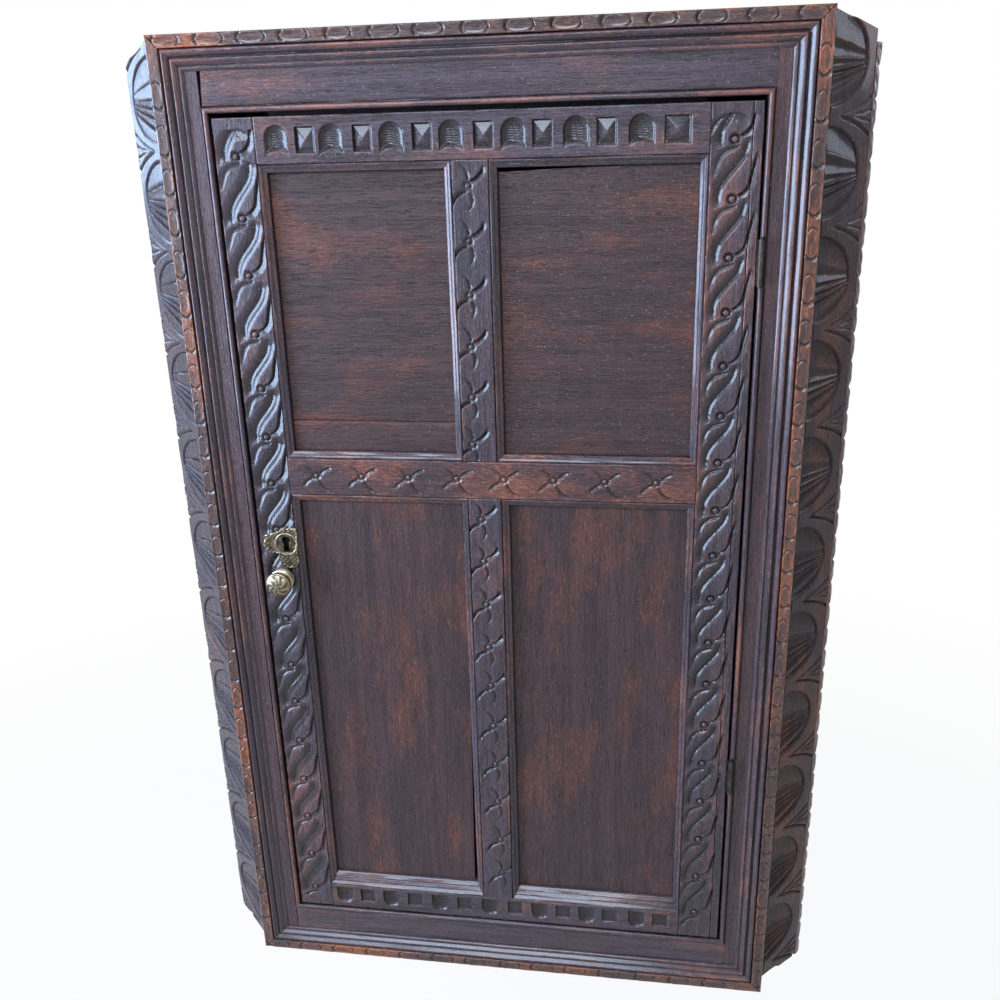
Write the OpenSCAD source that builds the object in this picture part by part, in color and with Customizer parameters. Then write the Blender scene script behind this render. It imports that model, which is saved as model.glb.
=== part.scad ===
// Hanging corner cupboard in carved oak: canted sides, a joined door of four panels, two shelves.
// It hangs in the corner of a room. The origin is under the middle of the whole, at the level of its
// lowest edge. +X is to the right as one faces the door, +Y goes back into the corner, +Z is up.

/* [Front] */
// Width of the front over its carved edge strips
front_w = 712; // [660:1:780]
// Height of the front over its carved edge strips
front_h = 1227; // [1180:1:1300]
// Thickness of the edge strips and mouldings that are nailed on the front
strip_t = 8; // [7:0.5:10]
// Width of the carved edge strips
strip_w = 13.5; // [11:0.5:16]
// Width of the reeded moulding inside the edge strips
moulding_w = 23.5; // [20:0.5:26]
// How far the front hangs below the sides and the bottom board
front_drop = 17; // [8:1:24]

/* [Carcase] */
// Width of each canted side, from the front to the wall
side_w = 81; // [60:1:92]
// Thickness of the canted sides
side_t = 16; // [13:0.5:18]
// How far the top edge of a canted side falls towards the wall
side_fall = 20.5; // [10:0.5:26]
// Width of the scalloped edging on the right side, next to the wall
edging_w = 12; // [9:0.5:14]
// Thickness of the back boards
back_t = 12; // [9:0.5:15]
// Number of back boards against each wall
back_count = 3; // [2:1:4]
// Thickness of the top, the bottom and the shelves
board_t = 18; // [15:0.5:22]
// Height of the lower shelf's underside above the bottom board
shelf_one = 362; // [300:1:400]
// Height of the upper shelf's underside above the bottom board
shelf_two = 752; // [690:1:800]
// Distance from the front frame's back to the shelves' front edges
shelf_setback = 16; // [14:1:40]
// Height of the shelf bearers
bearer_h = 20; // [14:1:26]
// Thickness of the shelf bearers
bearer_t = 14; // [10:1:18]
// Half the width of the flat where the corner post's back arris is taken off
post_flat = 14; // [8:1:18]
// Width of the corner post along each wall, past that flat
post_w = 22.6; // [18:0.5:30]
// Thickness of the corner post
post_t = 30; // [24:1:36]

/* [Hanging rails] */
// Height of a hanging rail
rail_h = 60; // [50:1:80]
// Thickness of a hanging rail
rail_t = 18; // [14:0.5:22]
// Distance from the top board's underside to a hanging rail
rail_drop = 14; // [8:1:40]
// Radius of the screw holes
screw_hole_r = 3.25; // [2.5:0.25:4]
// Distance of the inner screw hole from the corner, along the wall
screw_in = 140; // [110:1:180]
// Distance of the outer screw hole from the corner, along the wall
screw_out = 450; // [380:1:480]

/* [Front frame] */
// Distance from the front's left and right edges to the door opening
side_margin = 59; // [56:1:75]
// Distance from the front's upper edge to the door opening
head_margin = 80; // [72:1:95]
// Distance from the front's lower edge to the door opening
foot_margin = 78; // [70:1:90]
// Length of the frame rails' tenons
frame_tenon_l = 20; // [14:1:22]
// Width of the bead round the opening
bead_w = 8; // [6:0.5:9]
// How far the bead stands in front of the frame
bead_proud = 3; // [2:0.25:4]

/* [Door] */
// Thickness of the door
door_t = 22; // [20:0.5:26]
// Gap at each side of the door
gap_side = 2.5; // [2.5:0.1:4]
// Gap over the door
gap_top = 4.5; // [2:0.25:6]
// Gap under the door
gap_bottom = 2; // [1.5:0.25:4]
// Width of the lock stile's carved face
lock_stile_w = 47; // [44:0.5:52]
// Width of the hinge stile's carved face
hinge_stile_w = 42.5; // [38:0.5:48]
// Width of the strip that is added to the hinge stile's edge
closing_w = 10.5; // [8:0.5:13]
// Height of the top rail's carved face
top_rail_h = 49.5; // [46:0.5:54]
// Height of the middle rail's carved face
mid_rail_h = 46; // [42:0.5:50]
// Height of the bottom rail's carved face
bottom_rail_h = 37; // [34:0.5:42]
// Height of the middle rail's carved face above the door's lower edge
mid_rail_z = 628.5; // [600:0.5:660]
// Width of the muntins' carved faces
muntin_w = 40; // [36:0.5:44]
// Place of the upper muntin's middle
muntin_upper_x = -10; // [-20:0.5:20]
// Place of the lower muntin's middle
muntin_lower_x = -6; // [-20:0.5:20]
// Width of the moulded edges round the panels
mould_w = 9.5; // [8:0.5:11]
// Width of the reeded sill under the two lower panels
sill_w = 20; // [16:0.5:24]
// Depth of the panels' faces behind the door's face
panel_depth = 10; // [8.5:0.5:11]
// Thickness of the panels
panel_t = 8; // [6:0.5:9]
// How far a panel enters its grooves
panel_in = 8; // [6:0.5:8.5]
// Length of the rails' tenons
tenon_l = 26; // [18:1:30]
// Length of the muntins' tenons
muntin_tenon_l = 16; // [12:1:20]
// Height of the lower of the upper left panel's two boards
split_h = 36; // [30:1:60]

/* [Carving] */
// Number of niches, and of sunk squares, on the top and bottom rails
niche_count = 7; // [5:1:7]
// Plain wood at each end of a row of niches
niche_margin = 13.5; // [8:0.5:24]
// Width of a niche
niche_w = 27; // [22:0.5:28]
// Height of a niche on the top rail
niche_h = 34; // [26:0.5:36]
// Width of a sunk square
square_w = 25; // [20:0.5:26]
// Depth of the niches and squares
niche_d = 5; // [3:0.25:6]
// Number of half rounds down each canted side
lunette_count = 11; // [9:1:12]
// Depth of the sunk fields inside the half rounds
lunette_d = 2.5; // [1:0.25:4]
// Width of the flat ribbon round each half round
ribbon_w = 13; // [10:0.5:15]
// Distance from one lobe of the scalloped edging to the next
lobe_pitch = 31.5; // [28:0.5:36]

/* [Hinges] */
// Length of a hinge
hinge_h = 48; // [42:1:64]
// Radius of a hinge's knuckles
knuckle_r = 3.2; // [3:0.1:3.3]
// Radius of the hinge pins
pin_r = 1.4; // [1:0.1:1.7]
// Thickness of the hinge leaves
leaf_t = 1.1; // [0.8:0.05:1.15]
// Distance from the opening's lower edge to the lower hinge's middle
hinge_foot = 263; // [150:1:350]
// Distance from the opening's upper edge to the upper hinge's middle
hinge_head = 165; // [110:1:350]

/* [Lock and knob] */
// Height of the keyhole above the front's lower edge
keyhole_z = 642; // [620:1:660]
// Distance of the keyhole from the door's left edge
keyhole_in = 34.5; // [32:0.5:38]
// Height of the knob above the front's lower edge
knob_z = 595; // [580:1:600]
// Distance of the knob from the door's left edge
knob_in = 26.5; // [24:0.5:32]
// Radius of the knob's head
knob_r = 16; // [13:0.5:18]
// How far the knob stands in front of the door
knob_l = 30; // [26:1:34]
// Travel of the lock's bolt
bolt_travel = 9; // [6:0.5:10]
// Height of the lock's bolt
bolt_h = 14; // [10:0.5:16]

/* [Hidden] */
$fn = 48;
tiny = 0.05;
root2 = sqrt(2);

// Heights
side_z0 = front_drop;
frame_lap = 2;
side_z1 = front_h - frame_lap;
back_z1 = side_z1 - side_fall;
top_z = back_z1 - board_t;
floor_z = side_z0 + board_t;
shelf_z = [floor_z + shelf_one, floor_z + shelf_two];

// Depths behind the front of the edge strips
face_y = strip_t;
stop_gap = 0.4;
frame_y1 = face_y + door_t + stop_gap;
door_y1 = face_y + door_t;
panel_y = face_y + panel_depth;
tenon_y = panel_y;
tenon_t = panel_t;

// Plan: the canted sides lie on x - y = side_line, the walls on x + y = wall_line
side_ledge = 2;
side_x0 = front_w / 2 + side_ledge;
side_line = side_x0 - face_y;
wall_line = side_x0 + face_y + side_w * root2;
side_inner = side_line - side_t * root2;
back_inner = wall_line - back_t * root2;
post_s = (post_flat * root2) + post_w;
side_s = (side_line + wall_line) / root2 - side_t;
post_front_y = wall_line - (post_s + post_t) / root2;
centre_y = (wall_line - post_flat + face_y - knob_l) / 2;

// The door opening and the door
open_x = front_w / 2 - side_margin;
opening_z = foot_margin;
open_z1 = front_h - head_margin;
frame_x = open_x + bead_w;
frame_cant = side_inner - 0.03;
door_x = open_x - gap_side;
door_z0 = opening_z + gap_bottom;
door_z1 = open_z1 - gap_top;
lock_face_x = -door_x + lock_stile_w;
closing_x = door_x - closing_w;
hinge_face_x = closing_x - hinge_stile_w;
bottom_face_z = door_z0 + bottom_rail_h;
mid_face_z = door_z0 + mid_rail_z;
top_face_z = door_z1 - top_rail_h;
lock_sight = lock_face_x + mould_w;
hinge_sight = hinge_face_x - mould_w;
muntin_half = muntin_w / 2 + mould_w;
groove_d = panel_in + 1;

// The four panel openings: left, right, lower and upper sight lines, and the lower moulding's width
upper_z0 = mid_face_z + mid_rail_h + mould_w;
upper_z1 = top_face_z - mould_w;
lower_z0 = bottom_face_z + sill_w;
lower_z1 = mid_face_z - mould_w;
UPPER_LEFT = [lock_sight, muntin_upper_x - muntin_half, upper_z0, upper_z1, mould_w];
UPPER_RIGHT = [muntin_upper_x + muntin_half, hinge_sight, upper_z0, upper_z1, mould_w];
LOWER_LEFT = [lock_sight, muntin_lower_x - muntin_half, lower_z0, lower_z1, sill_w];
LOWER_RIGHT = [muntin_lower_x + muntin_half, hinge_sight, lower_z0, lower_z1, sill_w];
OPENINGS = [UPPER_LEFT, UPPER_RIGHT, LOWER_LEFT, LOWER_RIGHT];

// Heights of the rails' tenons
tenon_shy = 12;
tenon_step = 3;
rail_tenon_z = [
  [door_z0 + tenon_shy * 0.7, lower_z0 - groove_d - tenon_step],
  [mid_face_z + tenon_step, mid_face_z + mid_rail_h - tenon_step],
  [upper_z1 + groove_d + tenon_step, door_z1 - tenon_shy]
];

// The hinge pins' axis and the knuckles
pin_x = open_x + 1.6;
pin_y = face_y - 3.8;
knuckle_gap = 0.2;
end_knuckle = hinge_h * 0.28;
leaf_reach = 18;
HINGE_Z = [opening_z + hinge_foot, open_z1 - hinge_head];
hinge_screw_r = 1.6;
hinge_screw_l = 13;

// The lock and the knob
keyhole_x = -door_x + keyhole_in;
knob_x = -door_x + knob_in;
lock_w = 46;
lock_x0 = -door_x + 3.5;
lock_below = 29;
lock_above = 43;
lock_z0 = keyhole_z - lock_below;
lock_z1 = keyhole_z + lock_above;
lock_t = 11;
lock_plate_t = 1.8;
lock_ear = 8;
key_room_w = 18;
key_room_foot = 14;
bolt_t = 4;
bolt_y = door_y1 + 3;
bolt_z = keyhole_z + 13;
bolt_l = 40;
bolt_x0 = -door_x + 0.5;
bolt_fit = 0.2;
keeper_t = bolt_y - frame_y1 - bolt_fit;

oak = [0.20, 0.13, 0.11];
oak_dark = [0.13, 0.09, 0.08];
oak_red = [0.30, 0.17, 0.12];
oak_inside = [0.36, 0.26, 0.18];
iron = [0.16, 0.15, 0.15];
brass = [0.55, 0.49, 0.33];

// Moves what is drawn from the front's plane to the origin under the middle
module placed() {
  translate([0, -centre_y, 0]) children();
}

// A box given by its low and high corners
module span(low, high) {
  translate(low) cube(high - low);
}

// A flat shape in x and z, extruded from depth y0 to depth y1
module slab(y0, y1) {
  translate([0, y1, 0]) rotate([90, 0, 0]) linear_extrude(y1 - y0) children();
}

// Coordinates of a wall: x along the wall from the corner, y out through the wall
module wall(side) {
  mirror([side < 0 ? 1 : 0, 0, 0])
    translate([0, wall_line, 0]) rotate([0, 0, -45]) children();
}

// Coordinates of a canted side: x from the front to the wall, y inwards from its face
module cant(side) {
  mirror([side < 0 ? 1 : 0, 0, 0])
    translate([side_x0, face_y, 0]) rotate([0, 0, 45]) children();
}

// One mitred length of a moulding, along x from 0 to l. Its section is given in depth and height,
// with the height from -w at the outer edge to 0 at the inner edge
module mitred(l, w, w0, w1) {
  intersection() {
    translate([-w0 - 1, 0, 0]) rotate([90, 0, 90]) linear_extrude(l + w0 + w1 + 2) children();
    slab(-1, frame_y1 + 1) polygon([[0, 0], [l, 0], [l + w1, -w], [-w0, -w]]);
  }
}

// The four sides of a mitred frame inside out from the rectangle r = [x0, x1, z0, z1]
module side_bottom(r, w, wl, wr) {
  translate([r[0], 0, r[2]]) mitred(r[1] - r[0], w, wl, wr) children();
}
module side_top(r, w, wl, wr) {
  translate([r[1], 0, r[3]]) rotate([0, 180, 0]) mitred(r[1] - r[0], w, wr, wl) children();
}
module side_left(r, w, wb, wt) {
  translate([r[0], 0, r[3]]) rotate([0, 90, 0]) mitred(r[3] - r[2], w, wt, wb) children();
}
module side_right(r, w, wb, wt) {
  translate([r[1], 0, r[2]]) rotate([0, -90, 0]) mitred(r[3] - r[2], w, wb, wt) children();
}

// Section of the carved edge strips
module strip_section() {
  translate([0, -strip_w]) square([strip_t, strip_w]);
}

// Section of the reeded moulding: two reeds with a hollow between them and a fillet inside
module moulding_section() {
  reed_r = moulding_w * 0.13;
  difference() {
    union() {
      translate([strip_t * 0.62, -moulding_w]) square([strip_t * 0.38, moulding_w]);
      translate([strip_t * 0.12 + reed_r, -moulding_w + reed_r + 0.6]) circle(reed_r);
      translate([strip_t * 0.12 + reed_r, -moulding_w + 0.6]) square([strip_t * 0.88 - reed_r, 2 * reed_r]);
      translate([strip_t * 0.38 + reed_r, -moulding_w * 0.42]) circle(reed_r);
      translate([strip_t * 0.38 + reed_r, -moulding_w * 0.42 - reed_r])
        square([strip_t * 0.62 - reed_r, 2 * reed_r]);
    }
    translate([strip_t, -moulding_w - 1]) square([strip_t, moulding_w + 2]);
  }
}

// Section of the bead that lines the opening
module bead_section() {
  nose = bead_w * 0.4;
  translate([face_y, -bead_w]) square([frame_y1 - face_y, bead_w]);
  translate([face_y - bead_proud + nose, -nose]) circle(nose);
  translate([face_y - bead_proud + nose, -2 * nose]) square([bead_proud, 2 * nose]);
}

// Section of the moulded edge round a panel, w wide: a quirk, a quarter round and a fillet
module edge_section(w) {
  quirk = 1;
  round_r = panel_depth * 0.45;
  difference() {
    translate([face_y, -w]) square([panel_depth, w]);
    translate([face_y - 1, -w]) square([quirk + 1, quirk]);
    translate([face_y - 1, quirk - w + round_r * 0.9]) square([round_r * 0.9 + 1, w]);
    translate([face_y - 1, quirk - w + round_r * 0.9 + 2]) square([round_r * 1.5 + 1, w]);
  }
  translate([face_y + 0.4 + round_r, quirk - w + round_r]) circle(round_r);
}

// Section of the sill under the lower panels: a slope that carries three reeds
module sill_section() {
  reed_r = sill_w * 0.11;
  polygon([[panel_y, 0], [panel_y, -sill_w], [face_y, -sill_w], [face_y + panel_depth * 0.75, 0]]);
  for (i = [0:2])
    translate([face_y + 1.2 + i * panel_depth * 0.25, -sill_w * (0.84 - i * 0.3)]) circle(reed_r);
}

// Rectangles of the front: inner edges of the strips, of the moulding and of the bead
STRIP_IN = [strip_w - front_w / 2, front_w / 2 - strip_w, strip_w, front_h - strip_w];
front_inset = strip_w + moulding_w;
MOULDING_IN = [front_inset - front_w / 2, front_w / 2 - front_inset, front_inset, front_h - front_inset];
BEAD_IN = [-open_x, open_x, opening_z, open_z1];

// Front frame
module frame_stile(side) {
  difference() {
    mirror([side < 0 ? 1 : 0, 0, 0]) {
      translate([0, 0, frame_lap])
        linear_extrude(side_z1 - frame_lap)
          polygon([[frame_x, face_y], [frame_cant + face_y, face_y],
                   [frame_cant + frame_y1, frame_y1], [frame_x, frame_y1]]);
    }
    for (z = FRAME_TENONS)
      span([side * frame_x - frame_tenon_l - tiny, tenon_y - tiny, z[0] - tiny],
           [side * frame_x + frame_tenon_l + tiny, tenon_y + tenon_t + tiny, z[1] + tiny]);
    frame_peg_set(side, peg_r + tiny);
    hinge_leaf_screws(pin_side_holes = true, r = hinge_screw_r + tiny);
    keeper_screw_set(r = 1.5 + tiny);
  }
}
FRAME_TENONS = [
  [frame_lap + 12, opening_z - bead_w - 8],
  [open_z1 + bead_w + 8, side_z1 - 12]
];
peg_r = 3;
module frame_peg_set(side, r) {
  for (z = FRAME_TENONS, k = [0.28, 0.72])
    translate([side * (frame_x + frame_tenon_l * 0.65), tenon_y - 4, z[0] + (z[1] - z[0]) * k])
      rotate([-90, 0, 0]) cylinder(r = r, h = frame_y1 - tenon_y + 4);
}
module frame_stile_left() { color(oak) placed() frame_stile(-1); }
module frame_stile_right() { color(oak) placed() frame_stile(1); }
module frame_rail(z0, z1, tenon) {
  difference() {
    union() {
      span([-frame_x, face_y, z0], [frame_x, frame_y1, z1]);
      span([-frame_x - frame_tenon_l, tenon_y, tenon[0]],
           [frame_x + frame_tenon_l, tenon_y + tenon_t, tenon[1]]);
    }
    for (side = [-1, 1]) frame_peg_set(side, peg_r + tiny);
  }
}
module frame_rail_top() {
  color(oak) placed() frame_rail(open_z1 + bead_w, side_z1, FRAME_TENONS[1]);
}
module frame_rail_bottom() {
  color(oak) placed() frame_rail(frame_lap, opening_z - bead_w, FRAME_TENONS[0]);
}
module frame_pegs() {
  color(oak_red) placed() for (side = [-1, 1]) frame_peg_set(side, peg_r);
}

// Bead round the opening. The right one is notched for the hinges' knuckles and holds their screws
module bead_left() { color(oak_dark) placed() side_left(BEAD_IN, bead_w, bead_w, bead_w) bead_section(); }
module bead_right() {
  color(oak_dark) placed() difference() {
    side_right(BEAD_IN, bead_w, bead_w, bead_w) bead_section();
    for (z = HINGE_Z)
      span([open_x - 1, -1, z - hinge_h / 2 - 1],
           [pin_x + knuckle_r + 0.5, pin_y + knuckle_r + 0.3, z + hinge_h / 2 + 2]);
    hinge_leaf_screws(pin_side_holes = true, r = hinge_screw_r + tiny);
  }
}
module bead_top() { color(oak_dark) placed() side_top(BEAD_IN, bead_w, bead_w, bead_w) bead_section(); }
module bead_bottom() {
  color(oak_dark) placed() side_bottom(BEAD_IN, bead_w, bead_w, bead_w) bead_section();
}

// Reeded moulding and carved edge strips, mitred at the corners
module moulding_left() {
  color(oak) placed() side_left(MOULDING_IN, moulding_w, moulding_w, moulding_w) moulding_section();
}
module moulding_right() {
  color(oak) placed() side_right(MOULDING_IN, moulding_w, moulding_w, moulding_w) moulding_section();
}
module moulding_top() {
  color(oak) placed() side_top(MOULDING_IN, moulding_w, moulding_w, moulding_w) moulding_section();
}
module moulding_bottom() {
  color(oak) placed() side_bottom(MOULDING_IN, moulding_w, moulding_w, moulding_w) moulding_section();
}
module edge_strip_left() {
  color(oak_red) placed() side_left(STRIP_IN, strip_w, strip_w, strip_w) strip_section();
}
module edge_strip_right() {
  color(oak_red) placed() side_right(STRIP_IN, strip_w, strip_w, strip_w) strip_section();
}
module edge_strip_top() {
  color(oak_red) placed() side_top(STRIP_IN, strip_w, strip_w, strip_w) strip_section();
}
module edge_strip_bottom() {
  color(oak_red) placed() side_bottom(STRIP_IN, strip_w, strip_w, strip_w) strip_section();
}

// Canted sides, with sunk half rounds that open to the front. w is a side's width
lunette_pitch = (side_z1 - side_z0 - 20) / lunette_count;
function lunette_z(i) = side_z0 + 10 + lunette_pitch * (i + 0.5);
module side_board(side, w) {
  field_r = lunette_pitch / 2 - ribbon_w / 2 - 1;
  corner = 9;
  cant(side) difference() {
    intersection() {
      translate([0, 0, side_z0]) linear_extrude(side_z1 - side_z0)
        polygon([[0, 0], [w, 0], [w, side_t], [-side_t, side_t]]);
      slab(-1, side_t + 1) {
        polygon([[-side_t - 1, side_z0], [w, side_z0], [w, back_z1 - corner], [w - corner, back_z1 + 3],
                 [0, side_z1], [-side_t - 1, side_z1]]);
      }
    }
    for (i = [0:lunette_count - 1])
      translate([w * 0.06, lunette_d, lunette_z(i)]) rotate([90, 0, 0])
        cylinder(r = min(field_r, w - ribbon_w * 1.2), h = lunette_d + 1);
    if (side < 0)
      for (i = [1:lunette_count - 1])
        translate([w + 2.5, -1, lunette_z(i) - lunette_pitch / 2]) rotate([-90, 0, 0])
          cylinder(r = 6, h = side_t + 2);
  }
}
module side_board_left() { color(oak) placed() side_board(-1, side_w); }
module side_board_right() { color(oak) placed() side_board(1, side_w - edging_w); }
module side_edging_right() {
  notch_r = 4.5;
  count = floor((back_z1 - side_z0) / lobe_pitch);
  color(oak_dark) placed() cant(1) difference() {
    span([side_w - edging_w, 0, side_z0], [side_w, side_t, back_z1 - 9]);
    for (i = [1:count - 1])
      translate([side_w + 1.5, -1, side_z0 + i * lobe_pitch]) rotate([-90, 0, 0])
        cylinder(r = notch_r, h = side_t + 2);
  }
}

// Top, bottom and shelves: one outline round the post, with its front edge at depth y0
module board(y0, z) {
  near = (post_s - post_t) / root2;
  foot_x = (post_s - back_t) / root2;
  difference() {
    translate([0, 0, z]) linear_extrude(board_t)
      polygon([[-side_inner - y0, y0], [side_inner + y0, y0],
               [(side_inner + back_inner) / 2, (back_inner - side_inner) / 2],
               [foot_x, back_inner - foot_x], [near, post_front_y],
               [-near, post_front_y], [-foot_x, back_inner - foot_x],
               [-(side_inner + back_inner) / 2, (back_inner - side_inner) / 2]]);
    back_nail_set(nail_r + tiny);
  }
}
module top_board() { color(oak_inside) placed() board(frame_y1, top_z); }
module bottom_board() { color(oak_inside) placed() board(frame_y1, side_z0); }
module shelf_lower() { color(oak_inside) placed() board(frame_y1 + shelf_setback, shelf_z[0]); }
module shelf_upper() { color(oak_inside) placed() board(frame_y1 + shelf_setback, shelf_z[1]); }
module shelf_bearers() {
  color(oak_inside) placed() for (z = shelf_z, side = [-1, 1]) {
    wall(side) span([post_s + post_t, -back_t - bearer_t, z - bearer_h],
                    [side_s - side_t, -back_t, z]);
    cant(side) span([shelf_setback + 8, side_t, z - bearer_h],
                    [side_w - back_t - bearer_t - 4, side_t + bearer_t, z]);
  }
}

// Back boards, corner post, nails
back_run = side_s - post_s;
function plank_x(i) = post_s + back_run * i / back_count;
LEVELS = [side_z0 + board_t / 2, shelf_z[0] + board_t / 2, shelf_z[1] + board_t / 2, top_z + board_t / 2];
module back_boards(side) {
  joint = 0.5;
  difference() {
    wall(side) for (i = [0:back_count - 1])
      span([plank_x(i) + (i > 0 ? joint : 0), -back_t, side_z0], [plank_x(i + 1), 0, back_z1]);
    back_nail_set(nail_r + tiny);
    hang_hole_set();
  }
}
nail_r = 1.5;
nail_head_r = 3;
nail_head_t = 1.2;
nail_l = 32;
module back_nail_set(r) {
  for (side = [-1, 1], i = [0:back_count - 1], z = LEVELS)
    wall(side) translate([(plank_x(i) + plank_x(i + 1)) / 2, 0, z]) rotate([90, 0, 0]) {
      cylinder(r = r, h = nail_l + (r - nail_r));
      cylinder(r = nail_head_r + (r - nail_r), h = nail_head_t);
    }
}
module back_boards_left() { color(oak_inside) placed() back_boards(-1); }
module back_boards_right() { color(oak_inside) placed() back_boards(1); }
module back_board_nails() { color(iron) placed() back_nail_set(nail_r); }
module corner_post() {
  far = (post_s) / root2;
  near = (post_s - post_t) / root2;
  color(oak_inside) placed() translate([0, 0, side_z0]) linear_extrude(back_z1 - side_z0)
    polygon([[post_flat, wall_line - post_flat], [far, wall_line - far], [near, post_front_y],
             [-near, post_front_y], [-far, wall_line - far], [-post_flat, wall_line - post_flat]]);
}

// Hanging rails, with the screw holes that hold the cupboard on the walls
rail_z1 = top_z - rail_drop;
module hang_hole_set() {
  for (side = [-1, 1], x = [screw_in, screw_out])
    wall(side) translate([x, 1, rail_z1 - rail_h / 2]) rotate([90, 0, 0])
      cylinder(r = screw_hole_r, h = back_t + rail_t + 2);
}
module hanging_rail(side) {
  difference() {
    wall(side) span([post_s + post_t, -back_t - rail_t, rail_z1 - rail_h],
                    [side_s - side_t, -back_t, rail_z1]);
    hang_hole_set();
  }
}
module hanging_rail_left() { color(oak_inside) placed() hanging_rail(-1); }
module hanging_rail_right() { color(oak_inside) placed() hanging_rail(1); }

// Stops behind the door's upper and lower edges
module door_stops() {
  stop_w = open_x * 1.6;
  stop_t = 12;
  lap = 8;
  color(oak_inside) placed() {
    span([-stop_w / 2, frame_y1, door_z1 - lap], [stop_w / 2, frame_y1 + stop_t, open_z1 + bead_w + 10]);
    span([-stop_w / 2, frame_y1, opening_z - bead_w - 10], [stop_w / 2, frame_y1 + stop_t, door_z0 + lap]);
  }
}

// Hinges. The frame's leaves carry the end knuckles, the door's leaves the middle one
module knuckle(z0, z1) {
  translate([pin_x, pin_y, z0]) cylinder(r = knuckle_r, h = z1 - z0);
}
module pin_hole(z, r) {
  translate([pin_x, pin_y, z - hinge_h / 2 - 1]) cylinder(r = r, h = hinge_h + 2);
}
module hinge_leaf_screws(pin_side_holes, r) {
  x = pin_side_holes ? open_x - leaf_t : door_x + leaf_t;
  turn = pin_side_holes ? 90 : -90;
  for (z = HINGE_Z, k = [-1, 0, 1])
    translate([x, face_y + (k == 0 ? leaf_reach * 0.75 : leaf_reach * 0.4), z + k * hinge_h * 0.33])
      rotate([0, turn, 0]) {
        cylinder(r = r, h = hinge_screw_l + (r - hinge_screw_r));
        cylinder(r = r * 1.7, h = leaf_t * 0.6);
      }
}
module frame_hinge_leaves() {
  clear_y = pin_y + knuckle_r + 0.3;
  color(iron) placed() for (z = HINGE_Z) {
    z0 = z - hinge_h / 2;
    z1 = z + hinge_h / 2;
    difference() {
      union() {
        span([open_x - leaf_t, clear_y, z0], [open_x, face_y + leaf_reach, z1]);
        for (k = [[z0, z0 + end_knuckle], [z1 - end_knuckle, z1]]) {
          span([open_x - leaf_t, pin_y, k[0]], [open_x, clear_y + 1, k[1]]);
          knuckle(k[0], k[1]);
        }
      }
      pin_hole(z, pin_r + tiny);
      hinge_leaf_screws(pin_side_holes = true, r = hinge_screw_r + tiny);
    }
  }
}
module door_hinge_leaves() {
  clear_y = pin_y + knuckle_r + 0.9;
  color(iron) placed() for (z = HINGE_Z) {
    z0 = z - hinge_h / 2;
    z1 = z + hinge_h / 2;
    k = [z0 + end_knuckle + knuckle_gap, z1 - end_knuckle - knuckle_gap];
    difference() {
      union() {
        span([door_x, clear_y, z0], [door_x + leaf_t, face_y + leaf_reach, z1]);
        span([door_x, pin_y + 1, k[0]], [door_x + leaf_t, clear_y + 1, k[1]]);
        knuckle(k[0], k[1]);
        span([door_x, pin_y - 0.6, k[0]], [pin_x - pin_r - 0.6, pin_y + 1.2, k[1]]);
      }
      pin_hole(z, pin_r + tiny);
      hinge_leaf_screws(pin_side_holes = false, r = hinge_screw_r + tiny);
    }
  }
}
module hinge_pins() {
  head = 1.4;
  color(iron) placed() for (z = HINGE_Z) translate([pin_x, pin_y, z - hinge_h / 2]) {
    cylinder(r = pin_r, h = hinge_h);
    translate([0, 0, hinge_h]) cylinder(r = pin_r * 1.7, h = head);
  }
}
module frame_hinge_screws() {
  color(iron) placed() hinge_leaf_screws(pin_side_holes = true, r = hinge_screw_r);
}
module door_hinge_screws() {
  color(iron) placed() hinge_leaf_screws(pin_side_holes = false, r = hinge_screw_r);
}

// Keeper: an iron plate on the frame's back that the bolt slides behind
keeper_w = 19;
keeper_z0 = bolt_z - 8;
keeper_z1 = bolt_z + bolt_h + 8;
module keeper_screw_set(r) {
  for (z = [keeper_z0 + 4, keeper_z1 - 4])
    translate([-open_x - keeper_w + 5, frame_y1 + keeper_t, z]) rotate([90, 0, 0]) {
      cylinder(r = r, h = 14 + (r - 1.5));
      cylinder(r = r * 1.6, h = keeper_t * 0.5);
    }
}
module keeper_plate() {
  color(iron) placed() difference() {
    span([-open_x - keeper_w, frame_y1, keeper_z0], [-open_x - 0.5, frame_y1 + keeper_t, keeper_z1]);
    keeper_screw_set(r = 1.5 + tiny);
  }
}
module keeper_screws() { color(iron) placed() keeper_screw_set(r = 1.5); }

// Door joinery. The moulded edges are run on the stiles, rails and muntins and meet in mitres
module moulded(o, left = false, right = false, bottom = false, top = false) {
  if (left) side_left(o, mould_w, o[4], mould_w) edge_section(mould_w);
  if (right) side_right(o, mould_w, o[4], mould_w) edge_section(mould_w);
  if (top) side_top(o, mould_w, mould_w, mould_w) edge_section(mould_w);
  if (bottom && o[4] == mould_w) side_bottom(o, mould_w, mould_w, mould_w) edge_section(mould_w);
  if (bottom && o[4] != mould_w) side_bottom(o, o[4], mould_w, mould_w) sill_section();
}
module panel_grooves() {
  slack = 0.2;
  for (o = OPENINGS)
    span([o[0] - groove_d, panel_y, o[2] - groove_d],
         [o[1] + groove_d, panel_y + panel_t + slack, o[3] + groove_d]);
}
module rail_tenons(fit) {
  for (z = rail_tenon_z)
    span([lock_sight - tenon_l - fit, tenon_y, z[0] - fit],
         [hinge_sight + tenon_l + fit, tenon_y + tenon_t + fit, z[1] + fit]);
}
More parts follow.
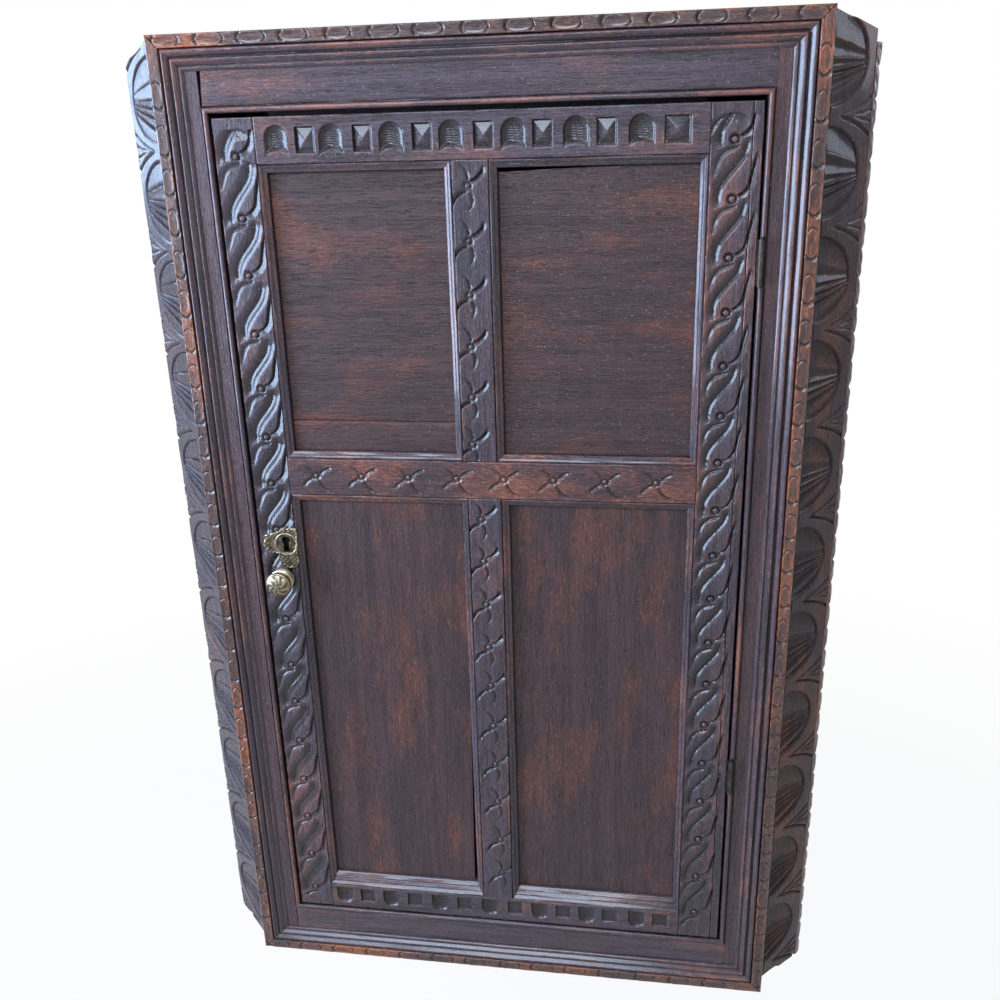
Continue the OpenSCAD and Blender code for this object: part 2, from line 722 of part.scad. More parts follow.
module muntin_tenons(fit) {
  reach = muntin_tenon_l;
  span([muntin_upper_x - muntin_w / 2 - fit, tenon_y, upper_z0 - reach - fit],
       [muntin_upper_x + muntin_w / 2 + fit, tenon_y + tenon_t + fit, upper_z1 + reach + fit]);
  span([muntin_lower_x - muntin_w / 2 - fit, tenon_y, lower_z0 - reach - fit],
       [muntin_lower_x + muntin_w / 2 + fit, tenon_y + tenon_t + fit, lower_z1 + reach + fit]);
}
door_peg_r = 2.5;
module door_peg_set(r) {
  for (z = rail_tenon_z, k = [0.3, 0.7], x = [lock_sight - tenon_l * 0.6, hinge_sight + tenon_l * 0.6])
    translate([x, tenon_y - 3, z[0] + (z[1] - z[0]) * k])
      rotate([-90, 0, 0]) cylinder(r = r, h = door_y1 - tenon_y + 3);
}
module door_pegs() { color(oak_red) placed() door_peg_set(door_peg_r); }

// Keyhole: a round eye over a slot. w is the eye's radius
module keyhole(w) {
  translate([keyhole_x, keyhole_z + 5]) circle(w);
  translate([keyhole_x - w * 0.65, keyhole_z - 10]) square([w * 1.3, 14]);
}
module knob_hole(r) {
  translate([knob_x, face_y - 1, knob_z]) rotate([-90, 0, 0]) cylinder(r = r, h = door_t + 12);
}
knob_shank_r = 4;
module door_stile_lock() {
  color(oak) placed() difference() {
    union() {
      span([-door_x, face_y, door_z0], [lock_face_x, panel_y, door_z1]);
      span([-door_x, panel_y, door_z0], [lock_sight, door_y1, door_z1]);
      moulded(UPPER_LEFT, left = true);
      moulded(LOWER_LEFT, left = true);
    }
    panel_grooves();
    rail_tenons(tiny);
    door_peg_set(door_peg_r + tiny);
    slab(face_y - 1, door_y1 + 1) keyhole(5.6);
    knob_hole(knob_shank_r + tiny);
    lock_screw_set(r = 1.5 + tiny);
    escutcheon_pin_set(r = 0.9 + tiny);
  }
}
module door_stile_hinge() {
  color(oak) placed() difference() {
    union() {
      span([hinge_face_x, face_y, door_z0], [closing_x, panel_y, door_z1]);
      span([hinge_sight, panel_y, door_z0], [closing_x, door_y1, door_z1]);
      moulded(UPPER_RIGHT, right = true);
      moulded(LOWER_RIGHT, right = true);
    }
    panel_grooves();
    rail_tenons(tiny);
    door_peg_set(door_peg_r + tiny);
    hinge_leaf_screws(pin_side_holes = false, r = hinge_screw_r + tiny);
  }
}
module door_closing_strip() {
  color(oak_red) placed() difference() {
    span([closing_x, face_y, door_z0], [door_x, door_y1, door_z1]);
    hinge_leaf_screws(pin_side_holes = false, r = hinge_screw_r + tiny);
  }
}

// Rails with a row of niches and sunk squares. The bottom rail's niches hang upside down
module niche(x, z, up) {
  half = niche_w / 2;
  h = niche_h * (up > 0 ? 1 : 0.72);
  translate([x, face_y, z]) intersection() {
    slab(-1, niche_d) {
      translate([0, up * (h / 2 - half)]) circle(half);
      translate([-half, up > 0 ? -h / 2 : half - h / 2]) square([niche_w, h - half]);
    }
    translate([0, niche_d - half * 1.3, -h]) cylinder(r = half * 1.3, h = 2 * h);
  }
}
module sunk_square(x, z, h) {
  translate([x, face_y, z]) difference() {
    slab(-1, niche_d) translate([-square_w / 2, -h / 2]) square([square_w, h]);
    intersection() {
      translate([0, 0, -h]) linear_extrude(2 * h)
        polygon([[-square_w / 2, niche_d], [square_w / 2, niche_d], [0, niche_d * 0.3]]);
      rotate([90, 0, 90]) translate([0, 0, -square_w]) linear_extrude(2 * square_w)
        polygon([[niche_d, -h / 2], [niche_d, h / 2], [niche_d * 0.3, 0]]);
    }
  }
}
module rail_carving(z, up) {
  pitch = (hinge_face_x - lock_face_x - 2 * niche_margin) / niche_count;
  for (i = [0:niche_count - 1]) {
    niche(lock_face_x + niche_margin + (i + 0.25) * pitch, z, up);
    sunk_square(lock_face_x + niche_margin + (i + 0.75) * pitch, z, square_w * (up > 0 ? 1.04 : 0.88));
  }
}
module door_rail(z0, z1, back_z0, back_z1) {
  span([lock_face_x, face_y, z0], [hinge_face_x, panel_y, z1]);
  span([lock_sight, panel_y, back_z0], [hinge_sight, door_y1, back_z1]);
}
module one_tenon(i) {
  z = rail_tenon_z[i];
  span([lock_sight - tenon_l, tenon_y, z[0]], [hinge_sight + tenon_l, tenon_y + tenon_t, z[1]]);
}
module door_rail_top() {
  color(oak) placed() difference() {
    union() {
      difference() {
        union() {
          door_rail(top_face_z, door_z1, upper_z1, door_z1);
          moulded(UPPER_LEFT, top = true);
          moulded(UPPER_RIGHT, top = true);
        }
        panel_grooves();
        muntin_tenons(tiny);
      }
      one_tenon(2);
    }
    door_peg_set(door_peg_r + tiny);
    muntin_tenons(tiny);
    rail_carving((top_face_z + door_z1) / 2, 1);
  }
}
module door_rail_middle() {
  color(oak) placed() difference() {
    union() {
      difference() {
        union() {
          door_rail(mid_face_z, mid_face_z + mid_rail_h, lower_z1, upper_z0);
          moulded(UPPER_LEFT, bottom = true);
          moulded(UPPER_RIGHT, bottom = true);
          moulded(LOWER_LEFT, top = true);
          moulded(LOWER_RIGHT, top = true);
        }
        panel_grooves();
      }
      one_tenon(1);
    }
    door_peg_set(door_peg_r + tiny);
    muntin_tenons(tiny);
  }
}
module door_rail_bottom() {
  color(oak) placed() difference() {
    union() {
      difference() {
        union() {
          door_rail(door_z0, bottom_face_z, door_z0, lower_z0);
          moulded(LOWER_LEFT, bottom = true);
          moulded(LOWER_RIGHT, bottom = true);
        }
        panel_grooves();
      }
      one_tenon(0);
    }
    door_peg_set(door_peg_r + tiny);
    muntin_tenons(tiny);
    rail_carving(door_z0 + bottom_rail_h * 0.52, -1);
  }
}
module door_muntin(x, z0, z1, sight_z0, sight_z1) {
  span([x - muntin_w / 2, face_y, z0], [x + muntin_w / 2, panel_y, z1]);
  span([x - muntin_half, panel_y, sight_z0], [x + muntin_half, door_y1, sight_z1]);
}
module one_muntin_tenon(x, z0, z1) {
  reach = muntin_tenon_l;
  span([x - muntin_w / 2, tenon_y, z0 - reach], [x + muntin_w / 2, tenon_y + tenon_t, z1 + reach]);
}
module door_muntin_upper() {
  color(oak) placed() union() {
    difference() {
      union() {
        door_muntin(muntin_upper_x, mid_face_z + mid_rail_h, top_face_z, upper_z0, upper_z1);
        moulded(UPPER_LEFT, right = true);
        moulded(UPPER_RIGHT, left = true);
      }
      panel_grooves();
    }
    one_muntin_tenon(muntin_upper_x, upper_z0, upper_z1);
  }
}
module door_muntin_lower() {
  color(oak) placed() union() {
    difference() {
      union() {
        door_muntin(muntin_lower_x, bottom_face_z, mid_face_z, lower_z0, lower_z1);
        moulded(LOWER_LEFT, right = true);
        moulded(LOWER_RIGHT, left = true);
      }
      panel_grooves();
    }
    one_muntin_tenon(muntin_lower_x, lower_z0, lower_z1);
  }
}
module panel(o, z0, z1) {
  span([o[0] - panel_in, panel_y, z0], [o[1] + panel_in, panel_y + panel_t, z1]);
}
module panel_upper_left() {
  seam = upper_z0 + split_h;
  gap = 0.6;
  color(oak_dark) placed() {
    panel(UPPER_LEFT, upper_z0 - panel_in, seam);
    panel(UPPER_LEFT, seam + gap, upper_z1 + panel_in);
  }
}
module panel_upper_right() {
  color(oak_dark) placed() panel(UPPER_RIGHT, upper_z0 - panel_in, upper_z1 + panel_in);
}
module panel_lower_left() {
  color(oak_dark) placed() panel(LOWER_LEFT, lower_z0 - panel_in, lower_z1 + panel_in);
}
module panel_lower_right() {
  color(oak_dark) placed() panel(LOWER_RIGHT, lower_z0 - panel_in, lower_z1 + panel_in);
}

// Escutcheon: a cast plate with lobed edges, a raised ring and two pins
ring_r = 15.5;
plate_t = 1.5;
module escutcheon() {
  top_lobes = 7;
  color(brass) placed() difference() {
    union() {
      slab(face_y - plate_t, face_y) {
        translate([keyhole_x, keyhole_z]) {
          circle(ring_r + 2.5);
          for (i = [0:top_lobes - 1]) rotate(15 + i * 25) translate([ring_r + 3, 0]) circle(3.6);
          for (p = [[-26, 9, 4], [-27, 1, 4], [-24, -8, 4.5], [-18, -11, 5], [-19, 6, 8], [-20, -3, 8]])
            translate([p[0], p[1]]) circle(p[2]);
          for (p = [[-5, -21, 8], [-11, -18, 4], [5, -21, 7], [10, -19, 5], [3, -28, 5]])
            translate([p[0], p[1]]) circle(p[2]);
        }
      }
      slab(face_y - plate_t - 0.7, face_y - plate_t / 2) translate([keyhole_x, keyhole_z]) difference() {
        circle(ring_r);
        circle(ring_r - 2);
      }
    }
    slab(face_y - plate_t - 2, face_y + 1) keyhole(5);
    escutcheon_pin_set(r = 0.9 + tiny);
  }
}
module escutcheon_pin_set(r) {
  for (p = [[-22, 2], [3, -22]])
    translate([keyhole_x + p[0], face_y - plate_t - 0.6, keyhole_z + p[1]]) rotate([-90, 0, 0])
      cylinder(r = r, h = 9 + (r - 0.9));
}
module escutcheon_pins() {
  color(brass) placed() {
    escutcheon_pin_set(r = 0.9);
    for (p = [[-22, 2], [3, -22]])
      translate([keyhole_x + p[0], face_y - plate_t - 0.9, keyhole_z + p[1]]) rotate([-90, 0, 0])
        cylinder(r = 1.8, h = 0.9);
  }
}

// Knob: a cast head on a stepped collar, with its shank through the stile to a square nut
module knob() {
  collar_r = knob_r * 0.94;
  rose_r = knob_r * 0.9;
  neck_r = knob_r * 0.45;
  head_l = knob_l * 0.42;
  color(brass) placed() translate([knob_x, face_y, knob_z]) rotate([90, 0, 0]) {
    translate([0, 0, -door_t - 5]) cylinder(r = knob_shank_r, h = door_t + 6);
    cylinder(r = rose_r, h = 2.5);
    cylinder(r = rose_r * 0.7, h = 5);
    cylinder(r = neck_r, h = knob_l * 0.6);
    translate([0, 0, knob_l * 0.3]) cylinder(r = collar_r, h = 2.5);
    translate([0, 0, knob_l * 0.3]) cylinder(r = collar_r * 0.8, h = knob_l * 0.25);
    translate([0, 0, knob_l - head_l]) rotate_extrude()
      polygon(concat([[0, 0], [knob_r, 0]],
                     [for (i = [0:8]) [knob_r * cos(i * 11.25), 2.5 + (head_l - 2.5) * sin(i * 11.25)]]));
  }
}
module knob_nut() {
  nut_w = 13;
  nut_t = 4;
  color(iron) placed() difference() {
    span([knob_x - nut_w / 2, door_y1, knob_z - nut_w / 2],
         [knob_x + nut_w / 2, door_y1 + nut_t, knob_z + nut_w / 2]);
    knob_hole(knob_shank_r + tiny);
  }
}

// Lock: a plate with a case on it, on the door's back. A key would throw its bolt towards the frame
module bolt_channel() {
  span([bolt_x0 - 5, bolt_y - bolt_fit, bolt_z - bolt_fit],
       [bolt_x0 + bolt_l + 0.5, bolt_y + bolt_t + bolt_fit, bolt_z + bolt_h + bolt_fit]);
}
module lock_screw_set(r) {
  for (x = [lock_x0 + 4, lock_x0 + lock_w - 4], z = [lock_z0 + 4, lock_z1 - 4])
    translate([x, door_y1 + lock_plate_t, z]) rotate([90, 0, 0]) {
      cylinder(r = r, h = lock_plate_t + 9 + (r - 1.5));
      cylinder(r = r * 1.7, h = 1);
    }
}
module lock_plate() {
  color(iron) placed() difference() {
    span([lock_x0, door_y1, lock_z0], [lock_x0 + lock_w, door_y1 + lock_plate_t, lock_z1]);
    slab(door_y1 - 1, door_y1 + lock_plate_t + 1) keyhole(5.6);
    lock_screw_set(r = 1.5 + tiny);
  }
}
// The case is hollow behind the keyhole, up to the bolt, where a key's bit turns
module lock_case() {
  color(iron) placed() difference() {
    span([lock_x0, door_y1 + lock_plate_t, lock_z0 + lock_ear],
         [lock_x0 + lock_w, door_y1 + lock_t, lock_z1 - lock_ear]);
    bolt_channel();
    span([keyhole_x - key_room_w / 2, door_y1, keyhole_z - key_room_foot],
         [keyhole_x + key_room_w / 2, bolt_y + bolt_t + bolt_fit, bolt_z]);
  }
}
module lock_screws() { color(iron) placed() lock_screw_set(r = 1.5); }
module lock_bolt() {
  color(iron) placed()
    span([bolt_x0, bolt_y, bolt_z], [bolt_x0 + bolt_l, bolt_y + bolt_t, bolt_z + bolt_h]);
}

frame_stile_left();
frame_stile_right();
frame_rail_top();
frame_rail_bottom();
frame_pegs();
bead_left();
bead_right();
bead_top();
bead_bottom();
moulding_left();
moulding_right();
moulding_top();
moulding_bottom();
edge_strip_left();
edge_strip_right();
edge_strip_top();
edge_strip_bottom();
side_board_left();
side_board_right();
side_edging_right();
top_board();
bottom_board();
shelf_lower();
shelf_upper();
shelf_bearers();
back_boards_left();
back_boards_right();
corner_post();
hanging_rail_left();
hanging_rail_right();
back_board_nails();
frame_hinge_leaves();
frame_hinge_screws();
hinge_pins();
keeper_plate();
keeper_screws();
door_stops();
door_stile_lock();
door_stile_hinge();
door_closing_strip();
door_rail_top();
door_rail_middle();
door_rail_bottom();
door_muntin_upper();
door_muntin_lower();
panel_upper_left();
panel_upper_right();
panel_lower_left();
panel_lower_right();
door_pegs();
escutcheon();
escutcheon_pins();
knob();
knob_nut();
lock_plate();
lock_case();
lock_screws();
door_hinge_leaves();
door_hinge_screws();
lock_bolt();
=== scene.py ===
"""A hanging corner cupboard in carved and waxed oak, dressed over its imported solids."""

import math
from functools import partial

import bpy
import numpy as np
from mathutils import Matrix, Vector


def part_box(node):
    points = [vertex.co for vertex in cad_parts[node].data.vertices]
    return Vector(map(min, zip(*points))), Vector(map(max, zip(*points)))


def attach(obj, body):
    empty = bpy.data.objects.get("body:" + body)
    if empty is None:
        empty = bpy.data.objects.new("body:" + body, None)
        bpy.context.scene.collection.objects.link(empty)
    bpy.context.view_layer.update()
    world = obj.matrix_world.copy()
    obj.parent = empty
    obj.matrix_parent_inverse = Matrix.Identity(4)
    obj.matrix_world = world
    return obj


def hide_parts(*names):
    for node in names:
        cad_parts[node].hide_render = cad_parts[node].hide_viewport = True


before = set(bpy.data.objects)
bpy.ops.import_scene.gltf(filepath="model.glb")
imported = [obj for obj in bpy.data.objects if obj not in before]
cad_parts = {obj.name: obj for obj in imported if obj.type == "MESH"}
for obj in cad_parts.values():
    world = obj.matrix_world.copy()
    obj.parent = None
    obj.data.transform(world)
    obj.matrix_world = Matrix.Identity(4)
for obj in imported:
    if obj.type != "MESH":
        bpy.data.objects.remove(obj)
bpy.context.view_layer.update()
scene = bpy.context.scene
MM = 0.001
X, Y, Z = np.eye(3)


# Places, in millimetres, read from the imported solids
def box(node):
    low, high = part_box(node)
    return np.array(low) * 1000, np.array(high) * 1000


MOULD_W = 9.5
SILL_W = 20
PANEL_IN = 8
STRIP_W = 13.5
BEAD_W = 8

front_lo, front_hi = box("edge_strip_bottom")
FRONT_X = front_hi[0]
FRONT_Z = box("edge_strip_left")[1][2]
PROUD = front_hi[1] - front_lo[1]
FACE = front_hi[1]
MOULDING_X = box("moulding_top")[1][0]
MOULDING_W = box("moulding_left")[1][0] + MOULDING_X
FRAME_BACK = box("frame_stile_left")[1][1]
OPEN_X = -box("bead_left")[1][0]
OPEN_Z0 = box("bead_bottom")[1][2]
OPEN_Z1 = box("bead_top")[0][2]
SIDE_X = FRONT_X + 2
SIDE_W = (-box("side_board_left")[0][0] - SIDE_X) * math.sqrt(2)

closing_lo, closing_hi = box("door_closing_strip")
DOOR_BACK = closing_hi[1]
DOOR_T = DOOR_BACK - FACE
DOOR_X = closing_hi[0]
DOOR_Z0, DOOR_Z1 = closing_lo[2], closing_hi[2]
CLOSING_X = closing_lo[0]
LOCK_SIGHT = box("door_stile_lock")[1][0]
HINGE_SIGHT = box("door_stile_hinge")[0][0]
LOCK_FACE = LOCK_SIGHT - MOULD_W
HINGE_FACE = HINGE_SIGHT + MOULD_W
PANEL_Y = box("panel_lower_left")[0][1]
PANEL_DEPTH = PANEL_Y - FACE
UPPER_Z0 = box("panel_upper_right")[0][2] + PANEL_IN
UPPER_Z1 = box("panel_upper_right")[1][2] - PANEL_IN
LOWER_Z0 = box("panel_lower_right")[0][2] + PANEL_IN
LOWER_Z1 = box("panel_lower_right")[1][2] - PANEL_IN
TOP_FACE = UPPER_Z1 + MOULD_W
MID_FACES = (LOWER_Z1 + MOULD_W, UPPER_Z0 - MOULD_W)
BOTTOM_FACE = LOWER_Z0 - SILL_W
MUNTIN_UPPER, MUNTIN_LOWER = ([corner[0] for corner in box("door_muntin_" + which)]
                              for which in ("upper", "lower"))
UPPER_FACE, LOWER_FACE = ((m[0] + MOULD_W, m[1] - MOULD_W) for m in (MUNTIN_UPPER, MUNTIN_LOWER))


# Uneven surfaces
def unit(value):
    return np.clip(value, 0, 1)


def ripple(u, v, across, along, seed):
    """A smooth unevenness between about -1 and 1, with humps of those sizes."""
    draw = np.random.default_rng(seed)
    total = 0
    for _ in range(7):
        bend = draw.uniform(-1, 1, 2) * 2 * math.pi
        total = total + np.sin(u * bend[0] / across + v * bend[1] / along + draw.uniform(0, 6.3))
    return total / 3.5


def blurred(field, cells):
    """The field averaged over a square of that many cells."""
    size = 2 * cells + 1
    for axis in (0, 0, 1, 1):
        wide = np.pad(field, [(cells, cells) if a == axis else (0, 0) for a in (0, 1)], "edge")
        run = np.insert(np.cumsum(wide, axis), 0, 0, axis)
        start, end = (np.take(run, range(k, k + field.shape[axis]), axis) for k in (0, size))
        field = (end - start) / size
    return field


def curve(points, steps=6):
    """A smooth line through the points."""
    p = np.array(points, float)
    p = np.vstack([2 * p[0] - p[1], p, 2 * p[-1] - p[-2]])
    t = np.linspace(0, 1, steps, endpoint=False)[:, None]
    out = []
    for a, b, c, d in zip(p, p[1:], p[2:], p[3:]):
        out.append(0.5 * (2 * b + (c - a) * t + (2 * a - 5 * b + 4 * c - d) * t**2
                          + (3 * b - a - 3 * c + d) * t**3))
    return np.vstack(out + [p[-2:-1]])


# Gouge work. A wall of a cut is two lists: distances from the cut's line, and the depths there
def wall(reach, depth, shape=0.55):
    return ([0, reach * 0.4, reach], [depth, depth * shape, 0])


def steep(depth):
    return ([0, 1.1, 1.9], [depth, depth * 0.25, 0])


def cut(height, u, v, line, left, right, ends=(0.2, 0.2)):
    """Carves along the line, with one wall on its left and one on its right."""
    reach = max(left[0][-1], right[0][-1])
    line = curve(line)
    lo, hi = line.min(0) - reach, line.max(0) + reach
    near = (u > lo[0]) & (u < hi[0]) & (v > lo[1]) & (v < hi[1])
    if not near.any():
        return
    p = np.stack([u[near], v[near]], -1)
    step = np.diff(line, axis=0)
    size = np.hypot(*step.T)
    begin = np.concatenate([[0], size.cumsum()[:-1]])
    rel = p[:, None] - line[None, :-1]
    t = unit((rel * step).sum(-1) / size**2)
    off = np.linalg.norm(rel - t[..., None] * step, axis=-1)
    k = off.argmin(1)
    i = np.arange(len(k))
    side = step[k, 0] * rel[i, k, 1] - step[k, 1] * rel[i, k, 0]
    s = (begin[k] + t[i, k] * size[k]) / size.sum()
    fade = np.ones(len(k))
    for end, share in zip(ends, (s, 1 - s)):
        if end:
            fade *= unit(share / end) ** 0.6
    depth = np.where(side > 0, np.interp(off[i, k], *left), np.interp(off[i, k], *right))
    height[near] = np.minimum(height[near], -depth * fade)


def boss(height, u, v, radius, low, high, bank=3.3):
    """A small round knob in a ring-shaped groove, whose outer wall is bank wide."""
    r = np.hypot(u, v)
    ring = radius * 1.24
    outer = -low * unit((ring + bank - r) / bank)
    near = r < ring + bank
    height[near] = np.where(r > ring, np.minimum(height, outer), -low)[near]
    dome = high - 1.5 * (r / radius) ** 2.4
    height[r < radius] = dome[r < radius]


# Solid pieces
WEAR_REACH = 2.2


class Stock:
    """The faces of one piece, with the grain, wear and painted shade in the hollows of each point."""

    def __init__(self):
        self.faces, self.layers, self.count = [], [], 0

    def add(self, points, faces, grain, wear, dirt):
        self.faces += [tuple(int(i) + self.count for i in f) for f in faces]
        self.layers.append((points, grain, wear, dirt))
        self.count += len(points)

    def board(self, at, across, along, out, width, length, thick, shape, step=(1, 1),
              warp=None, arris=1.0, heel=0.0, seed=1, ground=None, soak=2.2):
        """A board whose front is carved: shape(u, v) is its height over the plane through at.
        Below the height ground, its hollows are painted dark as shade, fully so at the depth soak below it."""
        across, along, out, at = (np.array(a, float) for a in (across, along, out, at))
        nu = max(2, int(round(width / step[0])) + 1)
        nv = max(2, int(round(length / step[1])) + 1)
        u0, v0 = np.meshgrid(np.linspace(0, width, nu), np.linspace(0, length, nv), indexing="ij")
        u, v = warp(u0, v0) if warp else (u0, v0)
        height = shape(u, v)
        edge = np.minimum(np.minimum(u0, width - u0), np.minimum(v0, length - v0))
        worn = arris * (1 + 0.35 * ripple(u, v, 25, 40, seed + 5)) if arris else 1e-6
        inside = unit(edge / worn)
        height = height - worn * (1 - np.sqrt(1 - (1 - inside) ** 2))
        cells = max(1, int(round(WEAR_REACH / step[0])))
        crest = height - blurred(height, cells)
        wear = unit(crest / 0.55) + 0.8 * unit(1 - edge / WEAR_REACH) * bool(arris)
        # Painted shade: darker where the surface lies below its surroundings, in hollows and grooves
        dirt = unit(-crest / 1.1)
        # Below the carving's ground the hollows get painted shade too, and what stands proud some wear
        if ground is not None:
            sunk = unit((ground - height) / soak)
            dirt = np.maximum(dirt, 0.75 * sunk)
            wear = np.maximum(wear * (1 - 0.8 * sunk), 0.35 * unit((height - ground) / 0.3))
        front = at + u[..., None] * across + v[..., None] * along + height[..., None] * out
        grid = np.arange(nu * nv).reshape(nu, nv)
        quads = np.stack([grid[:-1, :-1], grid[1:, :-1], grid[1:, 1:], grid[:-1, 1:]], -1).reshape(-1, 4)
        ring = np.concatenate([grid[:, 0], grid[-1, 1:], grid[-2::-1, -1], grid[0, -2:0:-1]])
        rim_u, rim_v = u.ravel()[ring], v.ravel()[ring]
        if heel:
            rim_u = np.where(u0.ravel()[ring] == 0, -heel, rim_u)
        back = at + rim_u[:, None] * across + rim_v[:, None] * along - thick * out
        n, m = nu * nv, len(ring)
        walls = [(ring[(i + 1) % m], ring[i], n + i, n + (i + 1) % m) for i in range(m)]
        faces = list(quads) + walls + [tuple(n + i for i in range(m))[::-1]]
        if np.dot(np.cross(across, along), out) < 0:
            faces = [f[::-1] for f in faces]
        flat = np.stack([u, height, v], -1).reshape(-1, 3)
        rim = np.stack([rim_u, np.full(m, -thick), rim_v], -1)
        shift = np.random.default_rng(seed).uniform(0, 900, 3)
        self.add(np.vstack([front.reshape(-1, 3), back]), faces, np.vstack([flat, rim]) + shift,
                 np.concatenate([wear.ravel(), np.zeros(m)]), np.concatenate([dirt.ravel(), np.zeros(m)]))

    def block(self, low, high, along="z", seed=1):
        """A plain sawn block between two corners, its grain along x or z."""
        size = np.array(high, float) - low
        across, run = (X, Z) if along == "z" else (Z, X)
        width, length = size @ across, size @ run
        self.board(low, across, run, -Y, width, length, size[1], lambda u, v: 0 * u,
                   (width / 2, length / 2), arris=0, seed=seed)


def new_object(name, data):
    obj = bpy.data.objects.new(name, data)
    scene.collection.objects.link(obj)
    return obj


def piece(name, stock, body, slot, material, *nodes):
    """Makes the mesh object, which rides on a body and stands for those solids."""
    points, grain, wear, dirt = (np.concatenate(part) for part in zip(*stock.layers))
    mesh = bpy.data.meshes.new(name)
    mesh.from_pydata(points * MM, [], stock.faces)
    for label, kind, field, data in (("grain", "FLOAT_VECTOR", "vector", grain * MM),
                                     ("wear", "FLOAT", "value", wear), ("dirt", "FLOAT", "value", dirt)):
        layer = mesh.attributes.new(label, kind, "POINT")
        layer.data.foreach_set(field, np.ascontiguousarray(data, np.float32).ravel())
    mesh.materials.append(material)
    mesh.shade_smooth()
    mesh.set_sharp_from_angle(angle=math.radians(50))
    obj = new_object(name, mesh)
    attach(obj, body)
    if nodes:
        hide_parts(*nodes)


# Materials
def linear(colour):
    """An sRGB hex colour as linear RGBA."""
    parts = [int(colour[i:i + 2], 16) / 255 for i in (1, 3, 5)]
    return [c / 12.92 if c <= 0.04045 else ((c + 0.055) / 1.055) ** 2.4 for c in parts] + [1.0]


def add(tree, kind, sockets=(), **settings):
    """Adds a node with its settings. A socket is filled by a value, an output or a node's first one."""
    node = tree.nodes.new("ShaderNode" + kind)
    for key, value in settings.items():
        setattr(node, key, value)
    for key, value in dict(sockets).items():
        if isinstance(value, bpy.types.Node):
            value = next(socket for socket in value.outputs if socket.enabled)
        if isinstance(value, bpy.types.NodeSocket):
            tree.links.new(value, node.inputs[key])
        else:
            node.inputs[key].default_value = value
    return node


def new_material(name):
    material = bpy.data.materials.new(name)
    material.use_nodes = True
    material.node_tree.nodes.clear()
    return material, partial(add, material.node_tree)


